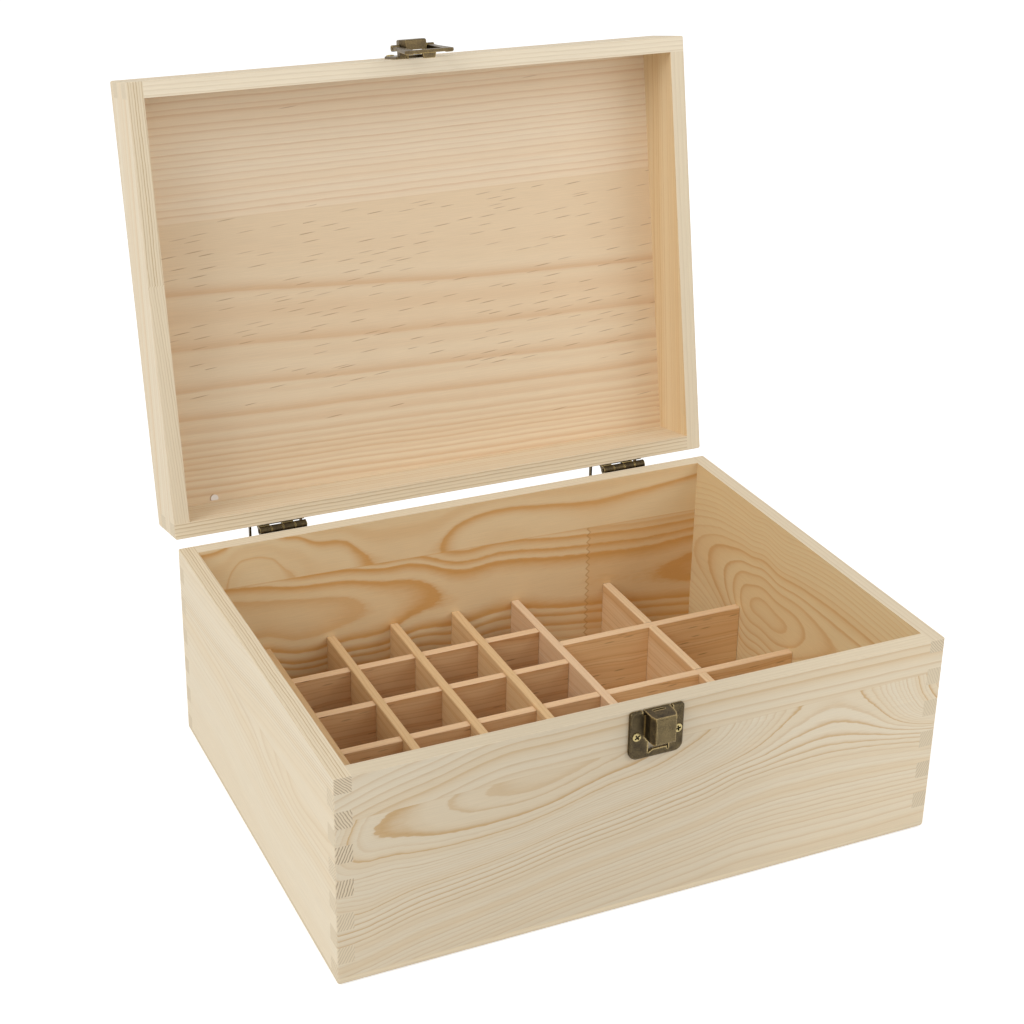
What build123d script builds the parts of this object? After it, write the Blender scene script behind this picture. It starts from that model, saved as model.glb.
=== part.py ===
from build123d import *
import os
from math import cos, hypot, radians, sin

# Hinged pine storage box for small oil bottles, shown with its lid open on its stop hinges.
# Millimetres, +X to the right, +Y to the back, +Z up. The origin is the centre of the base's
# underside. Lid pieces are modelled closed and then swung open about the hinge axis.

# Case
box_width = 300.0
box_depth = 225.0
body_height = 104.0
lid_height = 34.0
lid_gap = 0.3
lid_open_angle = 101.0
board_thickness = 8.0
bottom_panel_thickness = 4.0
top_panel_thickness = 3.5
finger_length = 8.5
short_first_finger = 7.2
least_finger = 0.001
corner_radius = 1.0
base_edge_radius = 2.2
lid_edge_radius = 2.3
rim_easing = 0.3
cut_overrun = 1.0

# Divider slats
slat_thickness = 4.5
narrow_column_count = 5
narrow_row_count = 6
wide_column_count = 2
wide_row_count = 4
centre_slat_x = 32.3
narrow_column_height = 38.0
narrow_row_height = 36.6
centre_slat_height = 37.2
wide_slat_height = 36.4
slat_end_gap = 0.2
slat_easing = 0.4
lap_gap = 0.15

# Stop hinges on the back
left_hinge_inset = 55.7
right_hinge_inset = 48.6
hinge_axis_offset = 3.0
hinge_length = 25.2
knuckle_count = 4
knuckle_gap = 0.3
knuckle_radius = 2.2
hinge_pin_radius = 1.1
hinge_pin_overhang = 0.4
hinge_pin_edge_radius = 0.3
running_gap = 0.05
body_gap = 0.3
leaf_thickness = 1.0
leaf_width = 28.4
leaf_reach = 17.0
leaf_start = 2.6
leaf_web_start = 1.4
leaf_shoulder = 5.2
leaf_corner_radius = 2.5
ear_reach = 15.9
ear_finger_width = 1.8
ear_root_drop = 9.5
ear_foot_drop = 12.0
ear_corner_radius = 0.7
hinge_screw_spacing = 16.0
hinge_screw_drop = 12.0

# Screws
screw_shank_radius = 1.0
screw_head_radius = 2.1
screw_head_height = 0.7
screw_rim_height = 0.35
screw_grip = 6.5
screw_tip_length = 1.6
screw_gap = 0.05

# Latch, the half on the body: a hollow plate with a hollow catch block pressed out of it
latch_x = -1.8
catch_width = 26.6
catch_height = 23.8
catch_top_drop = 0.8
catch_rise = 2.1
catch_wall = 1.0
catch_top_radius = 1.4
catch_bottom_radius = 4.2
catch_edge_radius = 1.0
block_root_width = 12.8
block_shoulder_width = 12.4
block_shoulder_reach = 6.6
block_width = 9.8
block_height = 13.6
block_reach = 10.0
block_wall = 1.0
block_corner_radius = 1.4
block_top_bevel_drop = 1.5
block_top_bevel_reach = 0.6
block_bottom_bevel = 0.7
block_edge_radius = 0.35
block_slot_length = 5.6
block_slot_width = 0.9
block_slot_reach = 2.4
window_left = 4.2
window_right = 5.8
lip_left = 1.9
lip_right = 5.2
lip_lift = 4.0
lip_relief = 1.5
notch_width = 0.9
notch_depth = 1.7
catch_screw_spacing = 20.2
catch_screw_drop = 11.8

# Latch, the half on the lid: a plate with a raised housing, and the hasp that swings in it
hasp_plate_width = 21.2
hasp_plate_height = 20.6
hasp_plate_lift = 0.6
hasp_plate_thickness = 1.3
hasp_plate_top_radius = 4.0
hasp_plate_bottom_radius = 1.2
hasp_plate_edge_radius = 0.4
housing_front_width = 11.0
housing_width = 14.4
housing_depth = 8.6
housing_flare_depth = 5.0
housing_reach = 9.3
housing_lift = 0.1
housing_wall = 1.0
housing_edge_radius = 0.9
housing_front_opening = 4.2
housing_back_opening = 6.0
hasp_screw_spacing = 15.6
hasp_screw_lift = 16.6
pivot_lift = 5.4
pivot_reach = 5.4
pivot_pin_radius = 0.8
pivot_pin_overhang = 0.3
eye_radius = 1.6
hasp_tilt = 4.3
hasp_thickness = 1.6
hasp_arm_width = 3.8
hasp_bar_depth = 2.3
hasp_edge_radius = 0.4
hasp_flare = 1.8
hasp_flare_length = 15.0
hasp_corner_radius = 0.9
hasp_corner_turn = 0.35
hasp_corner_width = 3.4
hasp_tab_width = 7.4
hasp_tab_tip_width = 5.9
hasp_tab_thickness = 1.1

os.makedirs("parts", exist_ok=True)

inner_x = box_width / 2 - board_thickness
inner_y = box_depth / 2 - board_thickness
floor_z = bottom_panel_thickness
back_y = box_depth / 2
front_y = -back_y
frame_height = body_height + lid_height - bottom_panel_thickness - top_panel_thickness
finger_count = int(frame_height / finger_length) + 2
sawn_height = body_height - bottom_panel_thickness
slight_drop = finger_length - short_first_finger
full_drop = -sawn_height % finger_length
# How far each corner's fingers are lowered, by its hand and side. After a full drop the rim lies
# between two fingers.
body_drops = {(-1, -1): slight_drop, (1, -1): 0, (-1, 1): full_drop, (1, 1): 0}
lid_drops = {(-1, -1): 0, (1, -1): full_drop, (-1, 1): full_drop, (1, 1): 0}
lid_base = body_height + lid_gap
axis_y = back_y + hinge_axis_offset
axis_z = body_height + lid_gap / 2
hinge_axis = Axis((0, axis_y, axis_z), (1, 0, 0))


def save(piece, node):
    piece.label = node
    export_step(piece, f"parts/{node}.step")


def swing_open(piece):
    # Turns a piece of the closed lid to where the stop hinges hold it.
    return piece.rotate(hinge_axis, -lid_open_angle)


def back_seat(x, z, out=0):
    # Plane on the back of the box, or out from it, that faces backwards.
    return Plane(origin=(x, back_y + out, z), x_dir=(1, 0, 0), z_dir=(0, 1, 0))


def front_seat(x, z, out=0):
    # Plane on the front of the box, or out from it, that faces forwards, with its y axis up.
    return Plane(origin=(x, front_y - out, z), x_dir=(1, 0, 0), z_dir=(0, -1, 0))


# Outer shapes of the body and of the closed lid, with every eased edge. The boards and panels
# are cut to them, so the rounding runs across the finger joints as it does after sanding.
with BuildPart() as body_form:
    with BuildSketch(Plane.XY):
        RectangleRounded(box_width, box_depth, corner_radius)
    extrude(amount=body_height)
    fillet(body_form.faces().sort_by(Axis.Z)[0].edges(), base_edge_radius)
    chamfer(body_form.faces().sort_by(Axis.Z)[-1].edges(), rim_easing)

with BuildPart() as lid_form:
    with BuildSketch(Plane.XY.offset(lid_base)):
        RectangleRounded(box_width, box_depth, corner_radius)
    extrude(amount=lid_height)
    fillet(lid_form.faces().sort_by(Axis.Z)[-1].edges(), lid_edge_radius)
    chamfer(lid_form.faces().sort_by(Axis.Z)[0].edges(), rim_easing)


def finger_spans(first, drop, low, high):
    # Heights above the bottom panel, in the unsawn frame, of every second finger of one corner
    # from number first, as far as they lie between low and high.
    spans = []
    for number in range(first, finger_count, 2):
        bottom = max(number * finger_length - drop, low)
        top = min((number + 1) * finger_length - drop, high)
        if top - bottom > least_finger:
            spans.append((bottom, top))
    return spans


def cross_board(side, low, high, base, form, drops):
    # Front (side -1) or back (side 1) board, notched at its ends for the side boards' fingers.
    board_y = side * (back_y - board_thickness / 2)
    notch = board_thickness + cut_overrun
    notch_x = inner_x + notch / 2
    with BuildPart() as board:
        with BuildSketch(Plane.XY.offset(base)):
            with Locations((0, board_y)):
                Rectangle(box_width, board_thickness)
        extrude(amount=high - low)
        for hand in (-1, 1):
            for bottom, top in finger_spans(1, drops[hand, side], low, high):
                with BuildSketch(Plane.XY.offset(base + bottom - low)):
                    with Locations((hand * notch_x, board_y)):
                        Rectangle(notch, board_thickness + 2 * cut_overrun)
                extrude(amount=top - bottom, mode=Mode.SUBTRACT)
        add(form.part, mode=Mode.INTERSECT)
    return board.part


def side_board(hand, low, high, base, form, drops):
    # Left (hand -1) or right (hand 1) board, notched at its ends for the other boards' fingers.
    board_x = hand * (inner_x + board_thickness / 2)
    notch = board_thickness + cut_overrun
    notch_y = inner_y + notch / 2
    with BuildPart() as board:
        with BuildSketch(Plane.XY.offset(base)):
            with Locations((board_x, 0)):
                Rectangle(board_thickness, box_depth)
        extrude(amount=high - low)
        for side in (-1, 1):
            for bottom, top in finger_spans(0, drops[hand, side], low, high):
                with BuildSketch(Plane.XY.offset(base + bottom - low)):
                    with Locations((board_x, side * notch_y)):
                        Rectangle(board_thickness + 2 * cut_overrun, notch)
                extrude(amount=top - bottom, mode=Mode.SUBTRACT)
        add(form.part, mode=Mode.INTERSECT)
    return board.part


def panel(base, thickness, form):
    with BuildPart() as sheet:
        with BuildSketch(Plane.XY.offset(base)):
            Rectangle(box_width, box_depth)
        extrude(amount=thickness)
        add(form.part, mode=Mode.INTERSECT)
    return sheet.part


def drill(board, seats, depth):
    # Pilot holes under screws whose heads bear on the given planes.
    with BuildPart() as drilled:
        add(board)
        for seat in seats:
            with BuildSketch(seat):
                Circle(screw_shank_radius + screw_gap)
            extrude(amount=-depth, mode=Mode.SUBTRACT)
    return drilled.part


def screws(seats):
    # Domed wood screws, one solid each, with their heads on the given planes.
    with BuildPart() as group:
        for seat in seats:
            with BuildSketch(Plane(origin=seat.origin, x_dir=seat.x_dir, z_dir=-seat.y_dir)):
                with BuildLine():
                    Polyline(
                        (0, screw_head_height),
                        (0, -screw_grip),
                        (screw_shank_radius, screw_tip_length - screw_grip),
                        (screw_shank_radius, 0),
                        (screw_head_radius, 0),
                        (screw_head_radius, screw_rim_height),
                    )
                    TangentArc(
                        (0, screw_head_height),
                        (screw_head_radius, screw_rim_height),
                        tangent=(1, 0),
                    )
                make_face()
            revolve(axis=Axis(seat.origin, seat.z_dir))
    return group.part


# Places of the hinges and screws
hinge_places = {
    "left": left_hinge_inset - box_width / 2,
    "right": box_width / 2 - right_hinge_inset,
}
hinge_body_seats = [
    back_seat(place + side * hinge_screw_spacing / 2, axis_z - hinge_screw_drop, leaf_thickness)
    for place in hinge_places.values()
    for side in (-1, 1)
]
hinge_lid_seats = [
    back_seat(place + side * hinge_screw_spacing / 2, axis_z + hinge_screw_drop, leaf_thickness)
    for place in hinge_places.values()
    for side in (-1, 1)
]
catch_top = body_height - catch_top_drop
hasp_plate_base = lid_base + hasp_plate_lift
housing_base = lid_base + housing_lift
catch_seats = [
    front_seat(latch_x + side * catch_screw_spacing / 2, catch_top - catch_screw_drop, catch_rise)
    for side in (-1, 1)
]
hasp_screw_z = hasp_plate_base + hasp_screw_lift
hasp_seats = [
    front_seat(latch_x + side * hasp_screw_spacing / 2, hasp_screw_z, hasp_plate_thickness)
    for side in (-1, 1)
]

# Body boards, the frame below the rim
body_cut = (0, sawn_height, floor_z, body_form, body_drops)
front_board = cross_board(-1, *body_cut)
save(drill(front_board, catch_seats, screw_grip + screw_gap), "front_board")
back_board = cross_board(1, *body_cut)
save(drill(back_board, hinge_body_seats, screw_grip + screw_gap), "back_board")
save(side_board(-1, *body_cut), "left_board")
save(side_board(1, *body_cut), "right_board")
save(panel(0, bottom_panel_thickness, body_form), "bottom_panel")

# Lid boards and panel
lid_cut = (sawn_height, frame_height, lid_base, lid_form, lid_drops)
lid_front_board = cross_board(-1, *lid_cut)
lid_front_board = drill(lid_front_board, hasp_seats, screw_grip + screw_gap)
save(swing_open(lid_front_board), "lid_front_board")
lid_back_board = cross_board(1, *lid_cut)
lid_back_board = drill(lid_back_board, hinge_lid_seats, screw_grip + screw_gap)
save(swing_open(lid_back_board), "lid_back_board")
save(swing_open(side_board(-1, *lid_cut)), "lid_left_board")
save(swing_open(side_board(1, *lid_cut)), "lid_right_board")
lid_panel_base = lid_base + lid_height - top_panel_thickness
save(swing_open(panel(lid_panel_base, top_panel_thickness, lid_form)), "lid_panel")


def spread(low, high, count):
    # Middles of the slats that part the stretch from low to high into count equal cells.
    cell = (high - low - (count - 1) * slat_thickness) / count
    first = low + cell + slat_thickness / 2
    return [first + number * (cell + slat_thickness) for number in range(count - 1)]


def column_slat(x, height, slots, slot_low, slot_high):
    # Slat that runs from front to back at x, with lap slots between two heights.
    with BuildPart() as slat:
        with BuildSketch(Plane.YZ.offset(x)):
            with Locations((0, floor_z)):
                Rectangle(2 * (inner_y - slat_end_gap), height, align=(Align.CENTER, Align.MIN))
            for y in slots:
                with Locations((y, slot_low)):
                    Rectangle(
                        slat_thickness + 2 * lap_gap,
                        slot_high - slot_low,
                        align=(Align.CENTER, Align.MIN),
                        mode=Mode.SUBTRACT,
                    )
        extrude(amount=slat_thickness / 2, both=True)
        chamfer(slat.edges().filter_by(Axis.Y).group_by(Axis.Z)[-1], slat_easing)
    return slat.part


def row_slat(y, left, right, height, slots, slot_low, slot_high):
    # Slat that runs from left to right at y, with lap slots between two heights.
    with BuildPart() as slat:
        with BuildSketch(Plane.XZ.offset(-y)):
            with Locations((left + slat_end_gap, floor_z)):
                Rectangle(right - left - 2 * slat_end_gap, height, align=(Align.MIN, Align.MIN))
            for x in slots:
                with Locations((x, slot_low)):
                    Rectangle(
                        slat_thickness + 2 * lap_gap,
                        slot_high - slot_low,
                        align=(Align.CENTER, Align.MIN),
                        mode=Mode.SUBTRACT,
                    )
        extrude(amount=slat_thickness / 2, both=True)
        chamfer(slat.edges().filter_by(Axis.X).group_by(Axis.Z)[-1], slat_easing)
    return slat.part


# Dividers. On the left the column slats run unbroken over the rows, on the right the rows run
# unbroken over the column. Each crossing is a half lap, open by a lap gap on every side.
centre_left = centre_slat_x - slat_thickness / 2
centre_right = centre_slat_x + slat_thickness / 2
narrow_columns = spread(-inner_x, centre_left, narrow_column_count)
narrow_rows = spread(-inner_y, inner_y, narrow_row_count)[::-1]
wide_columns = spread(centre_right, inner_x, wide_column_count)
wide_rows = spread(-inner_y, inner_y, wide_row_count)[::-1]
narrow_lap = floor_z + narrow_row_height / 2
wide_lap = floor_z + wide_slat_height / 2
narrow_row_top = floor_z + narrow_row_height + cut_overrun
wide_top = floor_z + wide_slat_height + cut_overrun
under_floor = floor_z - cut_overrun

for number, x in enumerate(narrow_columns, 1):
    slat = column_slat(x, narrow_column_height, narrow_rows, under_floor, narrow_lap + lap_gap)
    save(slat, f"narrow_column_divider_{number}")
narrow_row_slots = (narrow_columns, narrow_lap - lap_gap, narrow_row_top)
for number, y in enumerate(narrow_rows, 1):
    slat = row_slat(y, -inner_x, centre_left, narrow_row_height, *narrow_row_slots)
    save(slat, f"narrow_row_divider_{number}")
save(column_slat(centre_slat_x, centre_slat_height, [], 0, 0), "centre_divider")
for number, x in enumerate(wide_columns, 1):
    slat = column_slat(x, wide_slat_height, wide_rows, wide_lap - lap_gap, wide_top)
    save(slat, f"wide_column_divider_{number}")
wide_row_slots = (wide_columns, under_floor, wide_lap + lap_gap)
for number, y in enumerate(wide_rows, 1):
    slat = row_slat(y, centre_right, inner_x, wide_slat_height, *wide_row_slots)
    save(slat, f"wide_row_divider_{number}")


def stop_height(y):
    # Height at which a stop finger ends, a gap under the open lid's hinge leaf.
    behind = leaf_thickness + body_gap - hinge_axis_offset
    turn = radians(lid_open_angle)
    along = (y - axis_y - behind * cos(turn)) / sin(turn)
    return axis_z - behind * sin(turn) + along * cos(turn)


def hinge_leaf(place, side, has_ears):
    # Leaf below (side -1) or above (side 1) the hinge axis of the closed box, with every second
    # knuckle rolled from it. The lower leaf's ears stand out behind the box, and the open lid
    # rests on their fingers.
    pitch = hinge_length / knuckle_count
    first = (1 - side) // 2
    root = axis_z + side * (leaf_start + leaf_thickness)
    with BuildPart() as leaf:
        seat = Plane(origin=(place, back_y, axis_z), x_dir=(-side, 0, 0), z_dir=(0, 1, 0))
        with BuildSketch(seat) as outline:
            with Locations((0, leaf_start)):
                Rectangle(hinge_length, leaf_shoulder - leaf_start, align=(Align.CENTER, Align.MIN))
            with Locations((0, leaf_shoulder)):
                Rectangle(leaf_width, leaf_reach - leaf_shoulder, align=(Align.CENTER, Align.MIN))
            fillet(outline.vertices().group_by(Axis.Y)[-1], leaf_corner_radius)
            for hand in (-1, 1):
                with Locations((hand * hinge_screw_spacing / 2, hinge_screw_drop)):
                    Circle(screw_shank_radius + screw_gap, mode=Mode.SUBTRACT)
        extrude(amount=leaf_thickness)
        for number in range(first, knuckle_count, 2):
            with BuildSketch(Plane.YZ.offset(place - hinge_length / 2 + number * pitch + knuckle_gap / 2)):
                with BuildLine():
                    Polyline(
                        (back_y, axis_z + side * leaf_web_start),
                        (axis_y, axis_z),
                        (axis_y, axis_z + side * knuckle_radius),
                        (back_y + leaf_thickness, root),
                        (back_y, root),
                        close=True,
                    )
                make_face()
                with Locations((axis_y, axis_z)):
                    Circle(knuckle_radius)
                    Circle(hinge_pin_radius + running_gap, mode=Mode.SUBTRACT)
            extrude(amount=pitch - knuckle_gap)
        if has_ears:
            outer = back_y + ear_reach
            inner = outer - ear_finger_width
            for hand in (-1, 1):
                with BuildSketch(Plane.YZ.offset(place + hand * (leaf_width - leaf_thickness) / 2)) as ear:
                    with BuildLine():
                        Polyline(
                            (back_y, axis_z - leaf_reach + leaf_corner_radius),
                            (outer, axis_z - ear_foot_drop),
                            (outer, stop_height(outer)),
                            (inner, stop_height(inner)),
                            (inner, axis_z - ear_root_drop),
                            (back_y, axis_z - ear_root_drop),
                            close=True,
                        )
                    make_face()
                    fillet(ear.vertices().sort_by(Axis.X)[2:], ear_corner_radius)
                extrude(amount=leaf_thickness / 2, both=True)
    return leaf.part


def hinge_pin(place):
    length = hinge_length + 2 * hinge_pin_overhang
    with BuildPart() as pin:
        with BuildSketch(Plane.YZ.offset(place - length / 2)):
            with Locations((axis_y, axis_z)):
                Circle(hinge_pin_radius)
        extrude(amount=length)
        fillet(pin.edges().filter_by(GeomType.CIRCLE), hinge_pin_edge_radius)
    return pin.part


for hand, place in hinge_places.items():
    save(hinge_leaf(place, -1, True), f"{hand}_hinge_body_leaf")
    save(swing_open(hinge_leaf(place, 1, False)), f"{hand}_hinge_lid_leaf")
    save(hinge_pin(place), f"{hand}_hinge_pin")
save(screws(hinge_body_seats), "hinge_body_screws")
save(swing_open(screws(hinge_lid_seats)), "hinge_lid_screws")


# Catch block. Its outside is what its outlines from above, in front and beside have in common.
block_bottom = catch_top - block_height
block_plan = [
    (-block_root_width / 2, 0),
    (-block_shoulder_width / 2, block_shoulder_reach),
    (-block_width / 2, block_reach),
    (block_width / 2, block_reach),
    (block_shoulder_width / 2, block_shoulder_reach),
    (block_root_width / 2, 0),
]
block_profile = [
    (0, 0),
    (block_reach - block_top_bevel_reach, 0),
    (block_reach, -block_top_bevel_drop),
    (block_reach, block_bottom_bevel - block_height),
    (block_reach - block_bottom_bevel, -block_height),
    (0, -block_height),
]
block_top = Plane(origin=(latch_x, front_y, catch_top), x_dir=(1, 0, 0), z_dir=(0, 0, -1))
block_side = Plane(origin=(latch_x, front_y, catch_top), x_dir=(0, -1, 0), z_dir=(-1, 0, 0))
with BuildPart() as block:
    with BuildSketch(block_top):
        with BuildLine():
            Polyline(*block_plan, close=True)
        make_face()
    extrude(amount=block_height)
    with BuildSketch(front_seat(latch_x, catch_top)) as block_front:
        Rectangle(block_root_width, block_height, align=(Align.CENTER, Align.MAX))
        fillet(block_front.vertices().group_by(Axis.Y)[0], block_corner_radius)
    extrude(amount=block_reach, mode=Mode.INTERSECT)
    with BuildSketch(block_side):
        with BuildLine():
            Polyline(*block_profile, close=True)
        make_face()
    extrude(amount=block_root_width, both=True, mode=Mode.INTERSECT)
    fillet(block.faces().sort_by(Axis.Y)[0].edges(), block_edge_radius)

# Catch plate. Plate and block are one hollow pressing, open below the block, where the hasp's
# tab snaps in over the window's lip.
with BuildPart() as catch_plate:
    with BuildSketch(front_seat(latch_x, catch_top)) as catch_outline:
        with Locations((0, -catch_height / 2)):
            Rectangle(catch_width, catch_height)
        fillet(catch_outline.vertices().group_by(Axis.Y)[-1], catch_top_radius)
        fillet(catch_outline.vertices().group_by(Axis.Y)[0], catch_bottom_radius)
    extrude(amount=catch_rise)
    fillet(catch_plate.faces().sort_by(Axis.Y)[0].edges(), catch_edge_radius)
    add(block.part)
    with BuildSketch(front_seat(latch_x, catch_top - catch_wall, -cut_overrun)) as catch_hollow:
        Rectangle(
            catch_width - 2 * catch_wall,
            catch_height - 2 * catch_wall,
            align=(Align.CENTER, Align.MAX),
        )
        fillet(catch_hollow.vertices().group_by(Axis.Y)[0], catch_bottom_radius - catch_wall)
    extrude(amount=catch_rise - catch_wall + cut_overrun, mode=Mode.SUBTRACT)
    with BuildSketch(block_top.offset(block_wall)):
        with BuildLine():
            Polyline(*block_plan, close=True)
        make_face()
        offset(amount=-block_wall, kind=Kind.INTERSECTION, mode=Mode.REPLACE)
        Rectangle(
            block_root_width - 2 * block_wall,
            block_wall + catch_wall,
            align=(Align.CENTER, Align.MIN),
        )
    extrude(amount=block_height, mode=Mode.SUBTRACT)
    window_seat = front_seat(latch_x, catch_top - catch_height, -cut_overrun)
    with BuildSketch(window_seat):
        with BuildLine():
            Polyline(
                (-window_left, lip_lift - lip_relief),
                (-lip_left, lip_lift),
                (lip_right, lip_lift),
                (lip_right, lip_lift - lip_relief),
                (window_right, lip_lift - lip_relief),
                (window_right, catch_height - block_height),
                (-window_left, catch_height - block_height),
                close=True,
            )
        make_face()
    extrude(amount=catch_rise + 2 * cut_overrun, mode=Mode.SUBTRACT)
    notch_x = (block_root_width + notch_width) / 2
    with BuildSketch(front_seat(latch_x, catch_top - notch_depth, -cut_overrun)):
        with Locations((-notch_x, 0), (notch_x, 0)):
            Rectangle(notch_width, notch_depth + cut_overrun, align=(Align.CENTER, Align.MIN))
    extrude(amount=catch_rise + 2 * cut_overrun, mode=Mode.SUBTRACT)
    with BuildSketch(Plane.XY.offset(catch_top + cut_overrun)):
        with Locations((latch_x, front_y - block_slot_reach)):
            Rectangle(block_slot_length, block_slot_width)
    extrude(amount=-block_wall - 2 * cut_overrun, mode=Mode.SUBTRACT)
    with BuildSketch(front_seat(latch_x, catch_top - catch_screw_drop, -cut_overrun)):
        with Locations((-catch_screw_spacing / 2, 0), (catch_screw_spacing / 2, 0)):
            Circle(screw_shank_radius + screw_gap)
    extrude(amount=catch_rise + 2 * cut_overrun, mode=Mode.SUBTRACT)
save(catch_plate.part, "catch_plate")
save(screws(catch_seats), "catch_screws")

# Hasp plate with its housing, which is open to the wood, below its front lip and at its back
pivot_y = front_y - pivot_reach
pivot_z = lid_base + pivot_lift
housing_points = [
    (-housing_front_width / 2, 0),
    (housing_front_width / 2, 0),
    (housing_width / 2, housing_flare_depth),
    (housing_width / 2, housing_depth),
    (-housing_width / 2, housing_depth),
    (-housing_width / 2, housing_flare_depth),
]
with BuildPart() as hasp_plate:
    with BuildSketch(front_seat(latch_x, hasp_plate_base)) as hasp_outline:
        with Locations((0, hasp_plate_height / 2)):
            Rectangle(hasp_plate_width, hasp_plate_height)
        fillet(hasp_outline.vertices().group_by(Axis.Y)[-1], hasp_plate_top_radius)
        fillet(hasp_outline.vertices().group_by(Axis.Y)[0], hasp_plate_bottom_radius)
    extrude(amount=hasp_plate_thickness)
    fillet(hasp_plate.faces().sort_by(Axis.Y)[0].edges(), hasp_plate_edge_radius)
    with BuildSketch(front_seat(latch_x, housing_base)):
        with BuildLine():
            Polyline(*housing_points, close=True)
        make_face()
    extrude(amount=housing_reach)
    fillet(hasp_plate.faces().sort_by(Axis.Y)[0].edges().sort_by(Axis.Z)[:-1], housing_edge_radius)
    with BuildSketch(front_seat(latch_x, housing_base, -cut_overrun)):
        with BuildLine():
            Polyline(*housing_points, close=True)
        make_face()
        offset(amount=-housing_wall, kind=Kind.INTERSECTION, mode=Mode.REPLACE)
    extrude(amount=housing_reach - housing_wall + cut_overrun, mode=Mode.SUBTRACT)
    with BuildSketch(front_seat(latch_x, housing_base - cut_overrun, -cut_overrun)):
        Rectangle(
            housing_front_width - 2 * housing_wall,
            housing_wall + 2 * cut_overrun,
            align=(Align.CENTER, Align.MIN),
        )
    extrude(amount=housing_front_opening + cut_overrun, mode=Mode.SUBTRACT)
    tunnel_start = housing_base + housing_depth - housing_wall - cut_overrun
    with BuildSketch(front_seat(latch_x, tunnel_start, hasp_plate_thickness)):
        Rectangle(
            housing_width - 2 * housing_wall,
            housing_wall + 2 * cut_overrun,
            align=(Align.CENTER, Align.MIN),
        )
    extrude(amount=housing_back_opening - hasp_plate_thickness, mode=Mode.SUBTRACT)
    with BuildSketch(Plane.YZ.offset(latch_x)):
        with Locations((pivot_y, pivot_z)):
            Circle(pivot_pin_radius + running_gap)
    extrude(amount=hasp_plate_width, both=True, mode=Mode.SUBTRACT)
    with BuildSketch(front_seat(latch_x, hasp_plate_base + hasp_screw_lift, -cut_overrun)):
        with Locations((-hasp_screw_spacing / 2, 0), (hasp_screw_spacing / 2, 0)):
            Circle(screw_shank_radius + screw_gap)
    extrude(amount=hasp_plate_thickness + 2 * cut_overrun, mode=Mode.SUBTRACT)
save(swing_open(hasp_plate.part), "hasp_plate")
save(swing_open(screws(hasp_seats)), "hasp_plate_screws")

with BuildPart() as hasp_pin:
    pin_half = housing_width / 2 + body_gap + hasp_arm_width + pivot_pin_overhang
    with BuildSketch(Plane.YZ.offset(latch_x - pin_half)):
        with Locations((pivot_y, pivot_z)):
            Circle(pivot_pin_radius)
    extrude(amount=2 * pin_half)
save(swing_open(hasp_pin.part), "hasp_pin")

# Hasp, modelled latched: a loop with two rolled eyes, turned-in corners and a tab that reaches
# through the catch plate's window. Its bar swings clear of the block's front lower edge.
tilt = radians(hasp_tilt)
outward = (0, -cos(tilt), -sin(tilt))
hasp_seat = Plane(origin=(latch_x, pivot_y, pivot_z), x_dir=(1, 0, 0), z_dir=outward)
arm_inner = housing_width / 2 + body_gap
arm_outer = arm_inner + hasp_arm_width
block_corner_reach = block_reach - block_bottom_bevel - pivot_reach
bar_start = hypot(pivot_z - block_bottom, block_corner_reach) + body_gap
bar_end = bar_start + hasp_bar_depth
tab_end = (bar_start + bar_end + hasp_tab_thickness) / 2
tab_reach = (pivot_reach - body_gap - tab_end * sin(tilt)) / cos(tilt)
with BuildPart() as hasp:
    with BuildSketch(hasp_seat) as loop:
        with BuildLine():
            Polyline(
                (-arm_outer, 0),
                (arm_outer, 0),
                (arm_outer, hasp_flare_length - bar_end),
                (arm_outer + hasp_flare, -bar_end),
                (-arm_outer - hasp_flare, -bar_end),
                (-arm_outer, hasp_flare_length - bar_end),
                close=True,
            )
        make_face()
        fillet(loop.vertices().group_by(Axis.Y)[0], hasp_corner_radius)
        Rectangle(2 * arm_inner, bar_start, align=(Align.CENTER, Align.MAX), mode=Mode.SUBTRACT)
    extrude(amount=hasp_thickness / 2, both=True)
    outer_face = hasp.faces().sort_by(Axis(hasp_seat.origin, hasp_seat.z_dir))[-1]
    fillet(outer_face.edges().filter_by(Axis.X, reverse=True), hasp_edge_radius)
    with BuildSketch(hasp_seat):
        corner_x = arm_outer + hasp_flare - hasp_corner_radius - hasp_corner_width / 2
        with Locations((-corner_x, -bar_end), (corner_x, -bar_end)):
            Rectangle(hasp_corner_width, hasp_bar_depth, align=(Align.CENTER, Align.MIN))
    extrude(amount=-hasp_thickness / 2 - hasp_corner_turn)
    tab_root = hasp_seat.from_local_coords((0, -tab_end, 0))
    tab_seat = Plane(tab_root, x_dir=(1, 0, 0), z_dir=hasp_seat.y_dir)
    with BuildSketch(tab_seat):
        with BuildLine():
            Polyline(
                (-hasp_tab_width / 2, 0),
                (hasp_tab_width / 2, 0),
                (hasp_tab_tip_width / 2, tab_reach),
                (-hasp_tab_tip_width / 2, tab_reach),
                close=True,
            )
        make_face()
    extrude(amount=hasp_tab_thickness)
    for start in (-arm_outer, arm_inner):
        with BuildSketch(Plane.YZ.offset(latch_x + start)):
            with Locations((pivot_y, pivot_z)):
                Circle(eye_radius)
        extrude(amount=hasp_arm_width)
    with BuildSketch(Plane.YZ.offset(latch_x)):
        with Locations((pivot_y, pivot_z)):
            Circle(pivot_pin_radius + running_gap)
    extrude(amount=arm_outer + cut_overrun, both=True, mode=Mode.SUBTRACT)
save(swing_open(hasp.part), "hasp")
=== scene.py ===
import bpy
from math import cos, sin, radians, pi
from mathutils import Matrix, Vector


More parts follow.
